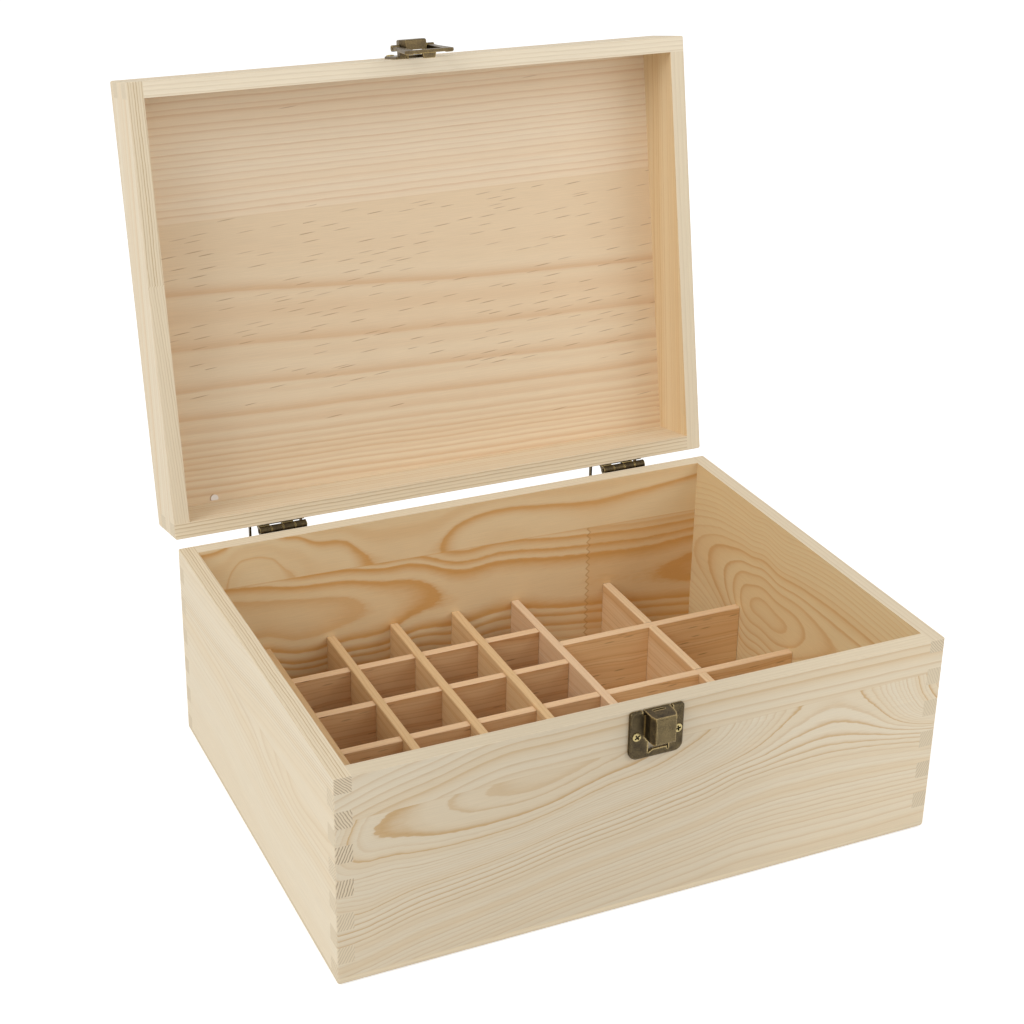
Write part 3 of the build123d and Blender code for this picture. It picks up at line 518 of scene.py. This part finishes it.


# How each board was cut, drawn after the figure that its face shows
interiorTones = {"late": "#D69F55", "pale": "#EED8AF", "warm": "#E5C088", "edge": "#ECDEC4"}
boardCuts = {
    "front_board": {
        "along": (1, 0, 0), "across": (0, 0, 1), "origin": (0, -112.5, 0), "seed": 3.0,
        "heart": [
            (-150, 66), (-135, 74), (-125, 76), (-115, 76), (-100, 78.5), (-80, 81), (-55, 85),
            (-25, 91), (0, 91), (25, 94), (50, 90), (75, 89), (100, 87), (125, 89), (150, 92),
        ],
        "depth": [
            (-150, 35.5), (-135, 30.5), (-130, 29.9), (-125, 29.5), (-115, 28.9), (-100, 26.9),
            (-80, 25.3), (-55, 23.7), (-25, 24.5), (0, 27.9), (25, 31.8), (50, 40.7), (75, 45.9),
            (100, 46.5), (125, 39.7), (150, 22.1),
        ],
        "rings": [
            (21, 0), (25.4, 0.45), (26.9, 0.5), (30.4, 0.95), (32, 0.2), (33.7, 0.85), (35, 0.2),
            (36.2, 0.2), (37.6, 0.6), (38.6, 0.25), (39.6, 0.3), (40.5, 0.3), (41.5, 0.3), (42.5, 0.3),
            (43.5, 0.35), (44.6, 0.3), (45.8, 0.95), (47.6, 0.35), (49.5, 0.85), (52.1, 0.8),
            (54.4, 0.7), (56.8, 0.7), (59, 0.3), (61, 0.2), (63.3, 0.25), (65.6, 0.25), (68, 0.25),
            (70.4, 0.55), (72.4, 0.3), (74.6, 0.4), (76.9, 0.5), (79, 0.35), (81, 0.35), (83.1, 0.5),
            (86, 0.3), (90, 0.4), (95, 0.3),
        ],
        "farHeart": [
            (-150, 64), (-120, 73.8), (-80, 82.4), (-40, 90.1), (0, 93.4), (20, 94.7), (40, 94.9),
            (60, 92.5), (80, 90.2), (90, 89.8), (110, 91), (130, 95.3), (150, 101),
        ],
        "seam": [(-150, 82), (150, 87)],
        # painted shade: the front darker on its left and middle, lighter on its right
        "paintedShading": [(-150, 0.92), (-100, 0.88), (-50, 0.86), (20, 0.87), (80, 0.95), (150, 1.0)],
        "upper": {
            "heart": [(-150, -3), (-130, 4), (-105, 10), (-75, 17), (-50, 18), (0, 19), (150, 18.5)],
            "depth": [(-150, 40), (150, 40)],
            "rings": [
                (68, 0.3), (72, 0.3), (76, 0.3), (79.8, 0.35), (83.7, 0.45), (89.4, 0.5), (93, 0.5),
                (96.7, 0.45), (100.3, 0.4), (104, 0.4), (110, 0.3),
            ],
            "rim": {"ring": 2.2, "dark": 0.25},
        },
        "end": {"drop": 1.3, "slants": [-0.5, 0.6, -0.4, -0.9, 0.5, -0.6, 0.4]},
    },
    "back_board": {
        "along": (1, 0, 0), "across": (0, 0, 1), "origin": (0, 104.5, 0), "seed": 11.0,
        "heart": [
            (-142, 56), (-115, 60), (-90, 55), (-65, 55), (-45, 53), (-25, 55), (0, 50), (25, 52),
            (60, 47), (100, 43), (142, 40),
        ],
        "depth": [
            (-142, 36.8), (-115, 39.8), (-90, 39.7), (-65, 40.8), (-45, 41.8), (-25, 43.2), (0, 44.6),
            (25, 45.0), (60, 45.0), (100, 44.6), (142, 43.4),
        ],
        "rings": [
            (34.5, 0), (38, 0), (41.4, 0.55), (44.5, 0.9), (47.7, 0.9), (49.7, 0.8), (52.8, 0.8),
            (55, 0.3), (58, 0.5), (62, 0.6), (66, 0.6), (72, 0.5),
        ],
        "seam": [(-142, 81), (142, 75.5)], "seamDark": 0.3,
        "fingerJoint": {"x": 75.0, "deep": 2.0, "dark": "#B07A38", "line": {1: 0.2, 2: 0.7, 3: 0.45, 4: 0.0},
                        "darker": 0.3},
        "upper": {
            "heart": [(-142, 80), (142, 80)],
            "depth": [
                (-142, 18), (-129, 15.9), (-125, 11.6), (-115, 3), (-105, 7.7), (-98, 13.9), (-90, 16.5),
                (-82, 21), (-65, 23.5), (-58, 26.2), (-50, 28.2), (-35, 28.9), (-12, 28.1), (-8, 27),
                (0, 24.7), (20, 22), (50, 23.5), (75, 25.2), (100, 24.5), (142, 22),
            ],
            "rings": [(8, 0), (13, 0), (16, 0.5), (23.5, 0), (28.4, 0.95), (35, 0), (39, 0.2), (46, 0.3)],
            "rim": {"ring": 1.9, "dark": 0.5}, "broad": True, "contrast": 1.0,
        },
        "end": {"drop": 2.0},
        "tones": interiorTones, "broad": True, "contrast": 1.0,
    },
    "left_board": {
        "along": (0, 1, 0), "across": (0, 0, 1), "origin": (-150, 0, 0), "seed": 21.0, "contrast": 0.5,
        "tones": {"late": "#C3A06A", "warm": "#E2C79C"},
        "heart": [
            (-112, 78), (-90, 80), (-70, 80), (-50, 76), (-35, 74), (-20, 73), (-5, 76), (15, 79),
            (40, 85), (75, 86), (112, 86),
        ],
        "depth": [
            (-112, 19.4), (-90, 15.6), (-70, 13.8), (-50, 20.2), (-35, 24.0), (-20, 26.9), (-5, 28.7),
            (15, 28.8), (40, 27.4), (75, 27.3), (112, 27.8),
        ],
        "rings": [
            (16, 0.3), (20.6, 0.5), (24.3, 0.45), (27.6, 0.45), (30.7, 0.6), (33, 0.35), (36.5, 0.45),
            (39, 0.35), (42, 0.3), (45, 0.2), (48, 0.12), (54, 0.08), (62, 0.05), (72, 0.05), (90, 0.05),
        ],
        "seam": [(-115, 72), (115, 73)],
        "upper": {
            "heart": [(-112, 20), (-60, 16), (-20, 12), (40, 4), (112, 0)],
            "depth": [(-112, 20), (112, 20)], "contrast": 0.65, "tones": {"late": "#B79C74"},
            "rings": [
                (66, 0.1), (70, 0.15), (74, 0.2), (76, 0.35), (78, 0.6), (79.6, 0.65), (81.2, 0.7),
                (82.8, 0.7), (84.5, 0.6), (86.2, 0.3), (88, 0.25), (90, 0.2), (92, 0.2), (95, 0.25),
                (98, 0.25), (102, 0.2), (108, 0.2),
            ],
            "rim": {"ring": 1.35, "dark": 0.85, "slope": 0.004},
        },
        "end": {
            "drop": 1.3, "slants": [-0.55, -0.5, -0.3, -0.42, 0.55, 1.0, 1.0],
            "darkness": [0.32, 0.4, 0.75, 0.8, 0.7, 0.7, 0.65],
        },
    },
    "right_board": {
        "along": (0, 1, 0), "across": (0, 0, 1), "origin": (142, 0, 0), "seed": 33.0,
        "heart": [
            (-105, 58), (-60, 60), (-35, 60), (-15, 56), (0, 52), (15, 49), (30, 50), (45, 48), (60, 51),
            (80, 54), (105, 52),
        ],
        "depth": [
            (-105, 19.1), (-60, 18.8), (-35, 18.4), (-15, 14.0), (0, 8.2), (15, 4.1), (30, 3.1),
            (45, 8.4), (60, 18.8), (80, 26.2), (105, 31.6),
        ],
        "rings": [
            (0, 0), (6.9, 0.5), (13.2, 0.6), (19, 0.55), (23.4, 0.7), (28.5, 0.65), (31.5, 0.4),
            (34.5, 0.3), (37.7, 0.4), (40, 0.3), (42.3, 0.3), (44.6, 0.3), (47, 0.3), (49.5, 0.3),
            (52, 0.25), (60, 0.2),
        ],
        "rim": {"ring": 2.4, "dark": 0.3},
        "end": {
            "drop": 0.0, "slants": [-0.4, -0.5, -0.5, 0.6, 0.5, 0.9, 0.9],
            "darkness": [0.3, 0.35, 0.25, 0.2, 0.2, 0.4, 0.4],
        },
        "tones": {"late": "#C58A40", "pale": "#E5CFA2", "warm": "#DCB57C", "edge": "#E5D5B9"},
        "contrast": 0.75,
    },
    "bottom_panel": {
        "along": (1, 0, 0), "across": (0, 1, 0), "origin": (0, 0, 4), "seed": 41.0,
        "heart": [(-150, 260), (0, 255), (150, 262)], "depth": [(-150, 40), (150, 60)], "ring": 5.0,
        "rim": {"ring": 1.6, "dark": 0.4},
    },
    "lid_front_board": {
        "along": (1, 0, 0), "across": (0, 0, 1), "origin": (0, -112.5, 104), "seed": 51.0, "lid": True,
        "heart": [(-150, 60), (150, 66)], "depth": [(-150, 30), (150, 40)], "ring": 2.2,
        "rim": {"ring": 2.3, "dark": 0.45},
        "tones": {"edge": "#F1E3C9"},
    },
    "lid_back_board": {
        "along": (1, 0, 0), "across": (0, 0, 1), "origin": (0, 112.5, 104), "seed": 61.0, "lid": True,
        "heart": [(-150, -50), (150, -60)], "depth": [(-150, 30), (150, 26)], "ring": 2.0,
        "rim": {"ring": 1.9, "dark": 0.75},
    },
    "lid_left_board": {
        "along": (0, 1, 0), "across": (0, 0, 1), "origin": (-150, 0, 104), "seed": 71.0, "lid": True,
        "contrast": 0.6,
        "heart": [(-115, 50), (115, 62)], "depth": [(-115, -20), (115, -34)], "ring": 2.0,
        "rim": {
            "ring": 1.3, "dark": 0.9, "offset": [(-115, 0), (-15, 0), (-14.8, 0.8), (115, -5.5)],
            "fade": [(-115, 1), (-15, 1), (-14.8, 0.5), (115, 0.5)],
        },
    },
    "lid_right_board": {
        "along": (0, 1, 0), "across": (0, 0, 1), "origin": (142, 0, 104), "seed": 81.0, "lid": True,
        "contrast": 0.6,
        "heart": [(-115, 40), (115, 48)], "depth": [(-115, -20), (115, -26)], "ring": 2.2,
        "rim": {"ring": 2.6, "dark": 0.2},
        "tones": {"pale": "#E6CFA8", "warm": "#DCB985"}, "warmth": 0.5,
    },
    "lid_panel": {
        "along": (1, 0, 0), "across": (0, -1, 0), "origin": (0, 0, 134.8), "seed": 91.0, "lid": True,
        "contrast": 0.7, "wave": 2.5,
        "heart": [(-150, 60), (150, 60)],
        "depth": [(-150, 46.5), (-60, 41), (0, 34), (60, 28), (150, 21)],
        "rings": [
            (20, 0), (40, 0), (58, 0.08), (64, 0), (72.6, 0.75), (86, 0), (96.2, 0.6), (105, 0),
            (115.2, 0.65), (120, 0), (129.1, 0.65), (136, 0.3), (141.4, 0.5), (145, 0.3), (148, 0.6),
            (151, 0.35), (153.7, 0.55), (156.5, 0.3), (159, 0.6), (163.3, 0.6), (167, 0.5), (174, 0.5),
        ],
        "seam": [(-150, 40), (150, 42)],
        # painted shade: the panel darker on its left, lighter on its right
        "paintedShading": [(-150, 0.95), (0, 1.0), (150, 1.05)],
        "upper": {
            "heart": [(-150, -201), (0, -200), (150, -198.5)], "depth": [(-150, 0), (150, 0)],
            "contrast": 0.62,
            "tones": {"pale": "#EFDCC0", "warm": "#E9CAA4"},
            "rings": [
                (236, 0), (241, 0.2), (245, 0.6), (248.5, 0.4), (252.5, 0.45), (256, 0.3), (260, 0.45),
                (263.5, 0.4), (266, 0.3), (269, 0.55), (272, 0.3), (275, 0.7), (278, 0.25), (281, 0.5),
                (285.5, 0.5), (289, 0.5), (294.5, 0.6), (297, 0.45), (301, 0.6), (304, 0.5), (308, 0.5),
            ],
        },
        "flecks": [
            (-104.5, 0.02), (-66, 0.06), (-50, 0.28), (0, 0.38), (25, 0.42), (39, 0.25), (43, 0.03),
            (104.5, 0.04),
        ],
        "fleckShape": (2.9, 15.0, 0), "fleckLean": -0.09, "fleckDark": 0.6,
        "nick": {"place": (-120, -102.6, 0), "radius": 2.3, "ring": 0.5, "shadowDark": 0.7, "gap": 0.1,
                 "soft": 1.2, "chalk": "#F1ECE8"},
        "tones": {"pale": "#EAD5B5", "late": "#CB965E", "warm": "#E3C096", "fleck": "#8E5F3C"},
        "broad": True,
    },
}
for name, cut in boardCuts.items():
    finishWith(pineMaterial("sanded_pine_" + name, cut), name)

# Divider slats, ripped from darker, pinkish boards. Columns are yellower than rows.
slatTones = {
    "narrow_column": {
        "pale": "#E0BF90", "late": "#B98A55", "warm": "#D0A773", "edge": "#E4C293",
        "edgeLate": "#BE9059",
    },
    "wide_column": {
        "pale": "#E3C297", "late": "#BC8C58", "warm": "#D6AC79", "edge": "#EED0A8",
        "edgeLate": "#C79A68",
    },
    "narrow_row": {
        "pale": "#DBB486", "late": "#B07845", "warm": "#CD9A64", "edge": "#EECBA2",
        "edgeLate": "#C69768", "fleck": "#6E4526",
    },
    "wide_row": {
        "pale": "#EFCB99", "late": "#C08A50", "warm": "#E2B47A", "edge": "#F1D1AA",
        "edgeLate": "#CC9C6A", "fleck": "#7A4E2A",
    },
    "centre": {
        "pale": "#DFBE98", "late": "#B88C62", "warm": "#D3AA7D", "edge": "#EBCCA8",
        "edgeLate": "#C6A078",
    },
}
slatThickness = 4.5
slatCut = {
    "across": (0, 0, 1), "ring": 2.6, "wave": 8.0, "contrast": 0.6, "warmth": 0.8,
    "rim": {"ring": 2.2, "dark": 0.35},
}
rowFlecks = {"flecks": [(0, 0.22), (45, 0.22)], "fleckShape": (4.5, 10.0, 0), "fleckDark": 0.55}
for name in sorted(n for n in nodes if "divider" in n):
    kind = name.partition("_divider")[0]
    isRow = kind.endswith("row")
    number = sum(ord(letter) for letter in name) % 37  # shifts each slat's rings from its neighbours'
    low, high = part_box(name)
    face = (low + high) / 2 / mm - Vector((slatThickness, slatThickness, 0)) / 2
    cut = dict(
        slatCut,
        along=(1, 0, 0) if isRow else (0, 1, 0),
        origin=(0, face.y, 0) if isRow else (face.x, 0, 0),
        seed=number * 1.7,
        heart=[(-150, 90 + number), (150, 84 + number)],
        depth=[(-150, 20), (150, 28 - number / 2)],
        tones=slatTones[kind],
    )
    if isRow:
        cut.update(rowFlecks)
    finishWith(pineMaterial("sawn_pine_" + name, cut), name)
print("stage: pine boards and dividers")

# Antique bronze: stamped steel, plated, blackened and tumbled, so its raised edges shine olive gold
# through the dark brown coat and the flats keep it. The catch block is handled most and has broad
# bright edges. The hasp, its plate and its pin have a thinner, paler coat.
bronzeLook = {"coat": "#2E2720", "bright": "#B39A62", "wearWidth": 0.7, "rubbed": 0.2}
catchLook = dict(bronzeLook, bright="#C4AD7A", wearWidth=1.6, front=(-117.5, -120.5), frontRubbed=0.14)
haspLook = dict(bronzeLook, coat="#504538", rubbed=0.34)
wear = {
    "speckle": {"Scale": 2400.0, "Detail": 3.0, "Roughness": 0.7},  # grains of 0.4 mm
    "cloud": {"Scale": 260.0, "Detail": 2.0},  # 4 mm across
    "edge": {1: 0.997, 2: 0.88, 3: 0.0, 4: 1.0},
    "patches": {1: 0.32, 2: 0.62, 3: 0.35, 4: 1.0},
    "cloudShare": 0.5,
    "rub": {1: 0.55, 2: 0.95, 3: 0.0},
    "forwards": {1: -0.6, 2: -0.95},
    "roughness": {3: 0.4, 4: 0.25},  # of the coat and of the bright metal
    "samples": 8,
    "bump": {"Strength": 0.2, "Distance": 0.03 * mm},
}


def bronzeMaterial(name, look):
    material, tree, shader = newMaterial(name)
    coords = add(tree, "TexCoord")
    shape = add(tree, "NewGeometry")
    softened = add(tree, "Bevel", {"Radius": look["wearWidth"] * mm}, samples=wear["samples"])
    flat = add(tree, "VectorMath", {0: softened, 1: shape.outputs["True Normal"]}, operation="DOT_PRODUCT")
    speckle = add(tree, "TexNoise", {"Vector": coords.outputs["Object"], **wear["speckle"]})
    cloud = add(tree, "TexNoise", {"Vector": coords.outputs["Object"], **wear["cloud"]})
    edge = add(tree, "MapRange", {0: flat, **wear["edge"]})
    patchy = add(tree, "MapRange", {0: speckle, **wear["patches"]})
    edge = add(tree, "Math", {0: patchy, 1: edge}, operation="MULTIPLY")
    rub = add(tree, "Math", {0: cloud, 1: wear["cloudShare"], 2: speckle}, operation="MULTIPLY_ADD")
    rub = add(tree, "MapRange", {0: rub, **wear["rub"], 4: look["rubbed"]})
    if "front" in look:
        # the block's front is rubbed as well, from none at the first of these y to most at the second
        start, full = look["front"]
        depth = add(tree, "SeparateXYZ", {0: coords.outputs["Object"]})
        proud = add(tree, "MapRange", {0: depth.outputs["Y"], 1: start * mm, 2: full * mm, 3: 0.0, 4: 1.0})
        facing = add(tree, "SeparateXYZ", {0: shape.outputs["Normal"]})
        facing = add(tree, "MapRange", {0: facing.outputs["Y"], **wear["forwards"]})
        proud = add(tree, "Math", {0: proud, 1: patchy}, operation="MULTIPLY")
        proud = add(tree, "Math", {0: proud, 1: facing}, operation="MULTIPLY")
        rub = add(tree, "Math", {0: proud, 1: look["frontRubbed"], 2: rub}, operation="MULTIPLY_ADD")
    worn = add(tree, "Math", {0: edge, 1: rub}, operation="MAXIMUM")
    colour = add(tree, "Mix", {0: worn, 6: linear(look["coat"]), 7: linear(look["bright"])},
                 data_type="RGBA")
    roughness = add(tree, "MapRange", {0: worn, **wear["roughness"]})
    bump = add(tree, "Bump", {"Height": speckle, **wear["bump"]})
    plug(tree, shader, {"Base Color": colour, "Metallic": 1.0, "Roughness": roughness, "Normal": bump})
    return material


bronze = bronzeMaterial("antique_bronze_plate", bronzeLook)
catchBronze = bronzeMaterial("antique_bronze_catch", catchLook)
haspBronze = bronzeMaterial("antique_bronze_hasp", haspLook)
finishWith(bronze, *[n for n in nodes if "hinge" in n and "screws" not in n])
finishWith(haspBronze, "hasp_plate", "hasp_pin", "hasp")
finishWith(catchBronze, "catch_plate")
print("stage: bronze hardware")

# Cross-head screws, in mm. The places of the lid's are those when it is closed.
screwShape = {
    "Head Radius": 2.1, "Rim Height": 0.35, "Head Height": 0.7, "Cross Length": 2.7, "Cross Width": 0.82,
    "Cross Depth": 0.65, "Shank Radius": 1.0, "Shank Length": 6.5, "Tip Length": 1.6,
}
screwMesh = {"headSides": 48, "domeRings": 24, "shankSides": 24, "domeShare": 0.985, "smoothAngle": 35}
screwSets = {
    "catch_screws": {
        "body": "box", "faces": -1, "y": -114.6, "turns": [35, 10],
        "spots": [(-11.9, 91.4), (8.3, 91.4)],
    },
    "hinge_body_screws": {
        "body": "box", "faces": 1, "y": 113.5, "turns": [20, 65, 5, 50],
        "spots": [(-102.3, 92.15), (-86.3, 92.15), (93.4, 92.15), (109.4, 92.15)],
    },
    "hinge_lid_screws": {
        "body": "lid", "faces": 1, "y": 113.5, "turns": [40, 10, 75, 30],
        "spots": [(-102.3, 116.15), (-86.3, 116.15), (93.4, 116.15), (109.4, 116.15)],
    },
    "hasp_plate_screws": {
        "body": "lid", "faces": -1, "y": -113.8, "turns": [15, 60],
        "spots": [(-9.6, 121.5), (6.0, 121.5)],
    },
}


def screwTree():
    tree = bpy.data.node_groups.new("crossHeadScrews", "GeometryNodeTree")
    panel = tree.interface
    panel.new_socket(name="Geometry", in_out="INPUT", socket_type="NodeSocketGeometry")
    for key, value in screwShape.items():
        panel.new_socket(name=key, in_out="INPUT", socket_type="NodeSocketFloat").default_value = value * mm
    panel.new_socket(name="Finish", in_out="INPUT", socket_type="NodeSocketMaterial")
    panel.new_socket(name="Geometry", in_out="OUTPUT", socket_type="NodeSocketGeometry")
    given = add(tree, "NodeGroupInput").outputs
    # head: a low rim under a dome
    rimHalf = add(tree, "Math", {0: given["Rim Height"], 1: 0.5}, operation="MULTIPLY")
    rimUp = add(tree, "CombineXYZ", {2: rimHalf})
    rim = add(tree, "GeometryNodeMeshCylinder", {
        "Vertices": screwMesh["headSides"],
        "Radius": given["Head Radius"],
        "Depth": given["Rim Height"],
    })
    rim = add(tree, "GeometryNodeTransform", {"Geometry": rim, "Translation": rimUp})
    domeRadius = add(tree, "Math", {0: given["Head Radius"], 1: screwMesh["domeShare"]},
                     operation="MULTIPLY")
    domeHeight = add(tree, "Math", {0: given["Head Height"], 1: given["Rim Height"]}, operation="SUBTRACT")
    flatness = add(tree, "Math", {0: domeHeight, 1: domeRadius}, operation="DIVIDE")
    domeScale = add(tree, "CombineXYZ", {0: 1.0, 1: 1.0, 2: flatness})
    domeUp = add(tree, "CombineXYZ", {2: given["Rim Height"]})
    dome = add(tree, "GeometryNodeMeshUVSphere", {
        "Segments": screwMesh["headSides"],
        "Rings": screwMesh["domeRings"],
        "Radius": domeRadius,
    })
    dome = add(tree, "GeometryNodeTransform", {"Geometry": dome, "Scale": domeScale, "Translation": domeUp})
    head = add(tree, "GeometryNodeMeshBoolean", {"Mesh 2": rim}, operation="UNION", solver="EXACT")
    plug(tree, head, {"Mesh 2": dome})
    # cross: two slots cut down from the top
    slotDeep = add(tree, "Math", {0: given["Cross Depth"], 1: 2.0}, operation="MULTIPLY")
    slotSize = add(tree, "CombineXYZ", {0: given["Cross Length"], 1: given["Cross Width"], 2: slotDeep})
    slotUp = add(tree, "CombineXYZ", {2: given["Head Height"]})
    slotOne = add(tree, "GeometryNodeMeshCube", {"Size": slotSize})
    slotOne = add(tree, "GeometryNodeTransform", {"Geometry": slotOne, "Translation": slotUp})
    slotTwo = add(tree, "GeometryNodeTransform", {"Geometry": slotOne, "Rotation": (0, 0, pi / 2)})
    cross = add(tree, "GeometryNodeMeshBoolean", {"Mesh 2": slotOne}, operation="UNION", solver="EXACT")
    plug(tree, cross, {"Mesh 2": slotTwo})
    head = add(tree, "GeometryNodeMeshBoolean", {"Mesh 1": head, "Mesh 2": cross}, operation="DIFFERENCE",
               solver="EXACT")
    # shank and point, inside the wood
    straight = add(tree, "Math", {0: given["Shank Length"], 1: given["Tip Length"]}, operation="SUBTRACT")
    straightHalf = add(tree, "Math", {0: straight, 1: -0.5}, operation="MULTIPLY")
    shankDown = add(tree, "CombineXYZ", {2: straightHalf})
    shank = add(tree, "GeometryNodeMeshCylinder", {
        "Vertices": screwMesh["shankSides"],
        "Radius": given["Shank Radius"],
        "Depth": straight,
    })
    shank = add(tree, "GeometryNodeTransform", {"Geometry": shank, "Translation": shankDown})
    tipDrop = add(tree, "Math", {0: given["Shank Length"], 1: -1.0}, operation="MULTIPLY")
    tipDown = add(tree, "CombineXYZ", {2: tipDrop})
    tip = add(tree, "GeometryNodeMeshCone", {
        "Vertices": screwMesh["shankSides"],
        "Radius Top": given["Shank Radius"],
        "Radius Bottom": 0.0,
        "Depth": given["Tip Length"],
    })
    tip = add(tree, "GeometryNodeTransform", {"Geometry": tip, "Translation": tipDown})
    whole = add(tree, "GeometryNodeJoinGeometry", {0: head})
    plug(tree, whole, {0: shank})
    plug(tree, whole, {0: tip})
    # one screw on each point, square to its plate and turned as it was driven
    aim = add(tree, "GeometryNodeInputNamedAttribute", {"Name": "aim"}, data_type="FLOAT_VECTOR")
    twist = add(tree, "GeometryNodeInputNamedAttribute", {"Name": "twist"}, data_type="FLOAT")
    stand = add(tree, "FunctionNodeAlignRotationToVector", {"Vector": aim}, axis="Z")
    spin = add(tree, "CombineXYZ", {2: twist})
    spin = add(tree, "FunctionNodeEulerToRotation", {0: spin})
    stand = add(tree, "FunctionNodeRotateRotation", {"Rotation": stand, "Rotate By": spin},
                rotation_space="LOCAL")
    placed = add(tree, "GeometryNodeInstanceOnPoints",
                 {"Points": given["Geometry"], "Instance": whole, "Rotation": stand})
    placed = add(tree, "GeometryNodeRealizeInstances", {0: placed})
    placed = add(tree, "GeometryNodeSetMaterial", {"Geometry": placed, "Material": given["Finish"]})
    add(tree, "NodeGroupOutput", {0: placed})
    return tree


# Brassed steel with a thin coat: pale brass heads, with painted shade in the cross and under the head, where
# the metal around hides the sky
screwLook = {
    "paintedShade": "#1E1812",
    "brass": "#BBAA78",
    "speckle": {"Scale": 1500.0, "Detail": 3.0},  # grains of 0.7 mm
    "speckleShare": 0.35,
    "paintedShadeReach": 1.5,  # mm
    "samples": 8,
    "open": {1: 0.8, 2: 0.99},
    "clear": {1: 0.15, 2: 1.15},
    "roughness": {3: 0.3, 4: 0.5},
}
screwFinish, tree, shader = newMaterial("brassed_steel_screw")
coords = add(tree, "TexCoord")
speckle = add(tree, "TexNoise", {"Vector": coords.outputs["Object"], **screwLook["speckle"]})
# painted shade: ambient occlusion turns the cross and the rim under the head towards the dark shade colour
hidden = add(tree, "AmbientOcclusion", {"Distance": screwLook["paintedShadeReach"] * mm},
             samples=screwLook["samples"], only_local=True)
clear = add(tree, "MapRange", {0: hidden.outputs["AO"], **screwLook["open"]})
clear = add(tree, "Math", {0: speckle, 1: screwLook["speckleShare"], 2: clear}, operation="MULTIPLY_ADD")
clear = add(tree, "MapRange", {0: clear, **screwLook["clear"]})
colour = add(tree, "Mix", {0: clear, 6: linear(screwLook["paintedShade"]), 7: linear(screwLook["brass"])},
             data_type="RGBA")
roughness = add(tree, "MapRange", {0: speckle, **screwLook["roughness"]})
plug(tree, shader, {"Base Color": colour, "Metallic": 1.0, "Roughness": roughness})

screwNodes = screwTree()
for nodeName, screwSet in screwSets.items():
    spots = [Vector((x, screwSet["y"], z)) for x, z in screwSet["spots"]]
    aim = Vector((0, screwSet["faces"], 0))
    if screwSet["body"] == "lid":
        spots = [lidClosed.inverted() @ spot for spot in spots]
        aim = lidClosed.to_3x3().inverted() @ aim
    spots = [spot * mm for spot in spots]
    seatMesh = bpy.data.meshes.new(nodeName + "_seats")
    seatMesh.from_pydata(spots, [], [])
    seatMesh.attributes.new("aim", "FLOAT_VECTOR", "POINT")
    seatMesh.attributes.new("twist", "FLOAT", "POINT")
    for i, turnBy in enumerate(screwSet["turns"]):
        seatMesh.attributes["aim"].data[i].vector = aim
        seatMesh.attributes["twist"].data[i].value = radians(turnBy)
    seats = bpy.data.objects.new(nodeName + "_seats", seatMesh)
    bpy.context.collection.objects.link(seats)
    modifier = seats.modifiers.new("screws", "NODES")
    modifier.node_group = screwNodes
    for item in screwNodes.interface.items_tree:
        if item.in_out == "INPUT" and item.name in screwShape:
            modifier[item.identifier] = screwShape[item.name] * mm
        if item.in_out == "INPUT" and item.name == "Finish":
            modifier[item.identifier] = screwFinish
    bpy.context.view_layer.update()
    made = bpy.data.meshes.new_from_object(seats.evaluated_get(bpy.context.evaluated_depsgraph_get()))
    made.name = nodeName + "_cross_head"
    made.shade_smooth()
    made.set_sharp_from_angle(angle=radians(screwMesh["smoothAngle"]))
    piece = bpy.data.objects.new(nodeName + "_cross_head", made)
    bpy.context.collection.objects.link(piece)
    bpy.data.objects.remove(seats)
    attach(piece, screwSet["body"])
    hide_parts(nodeName)
print("stage: screws")
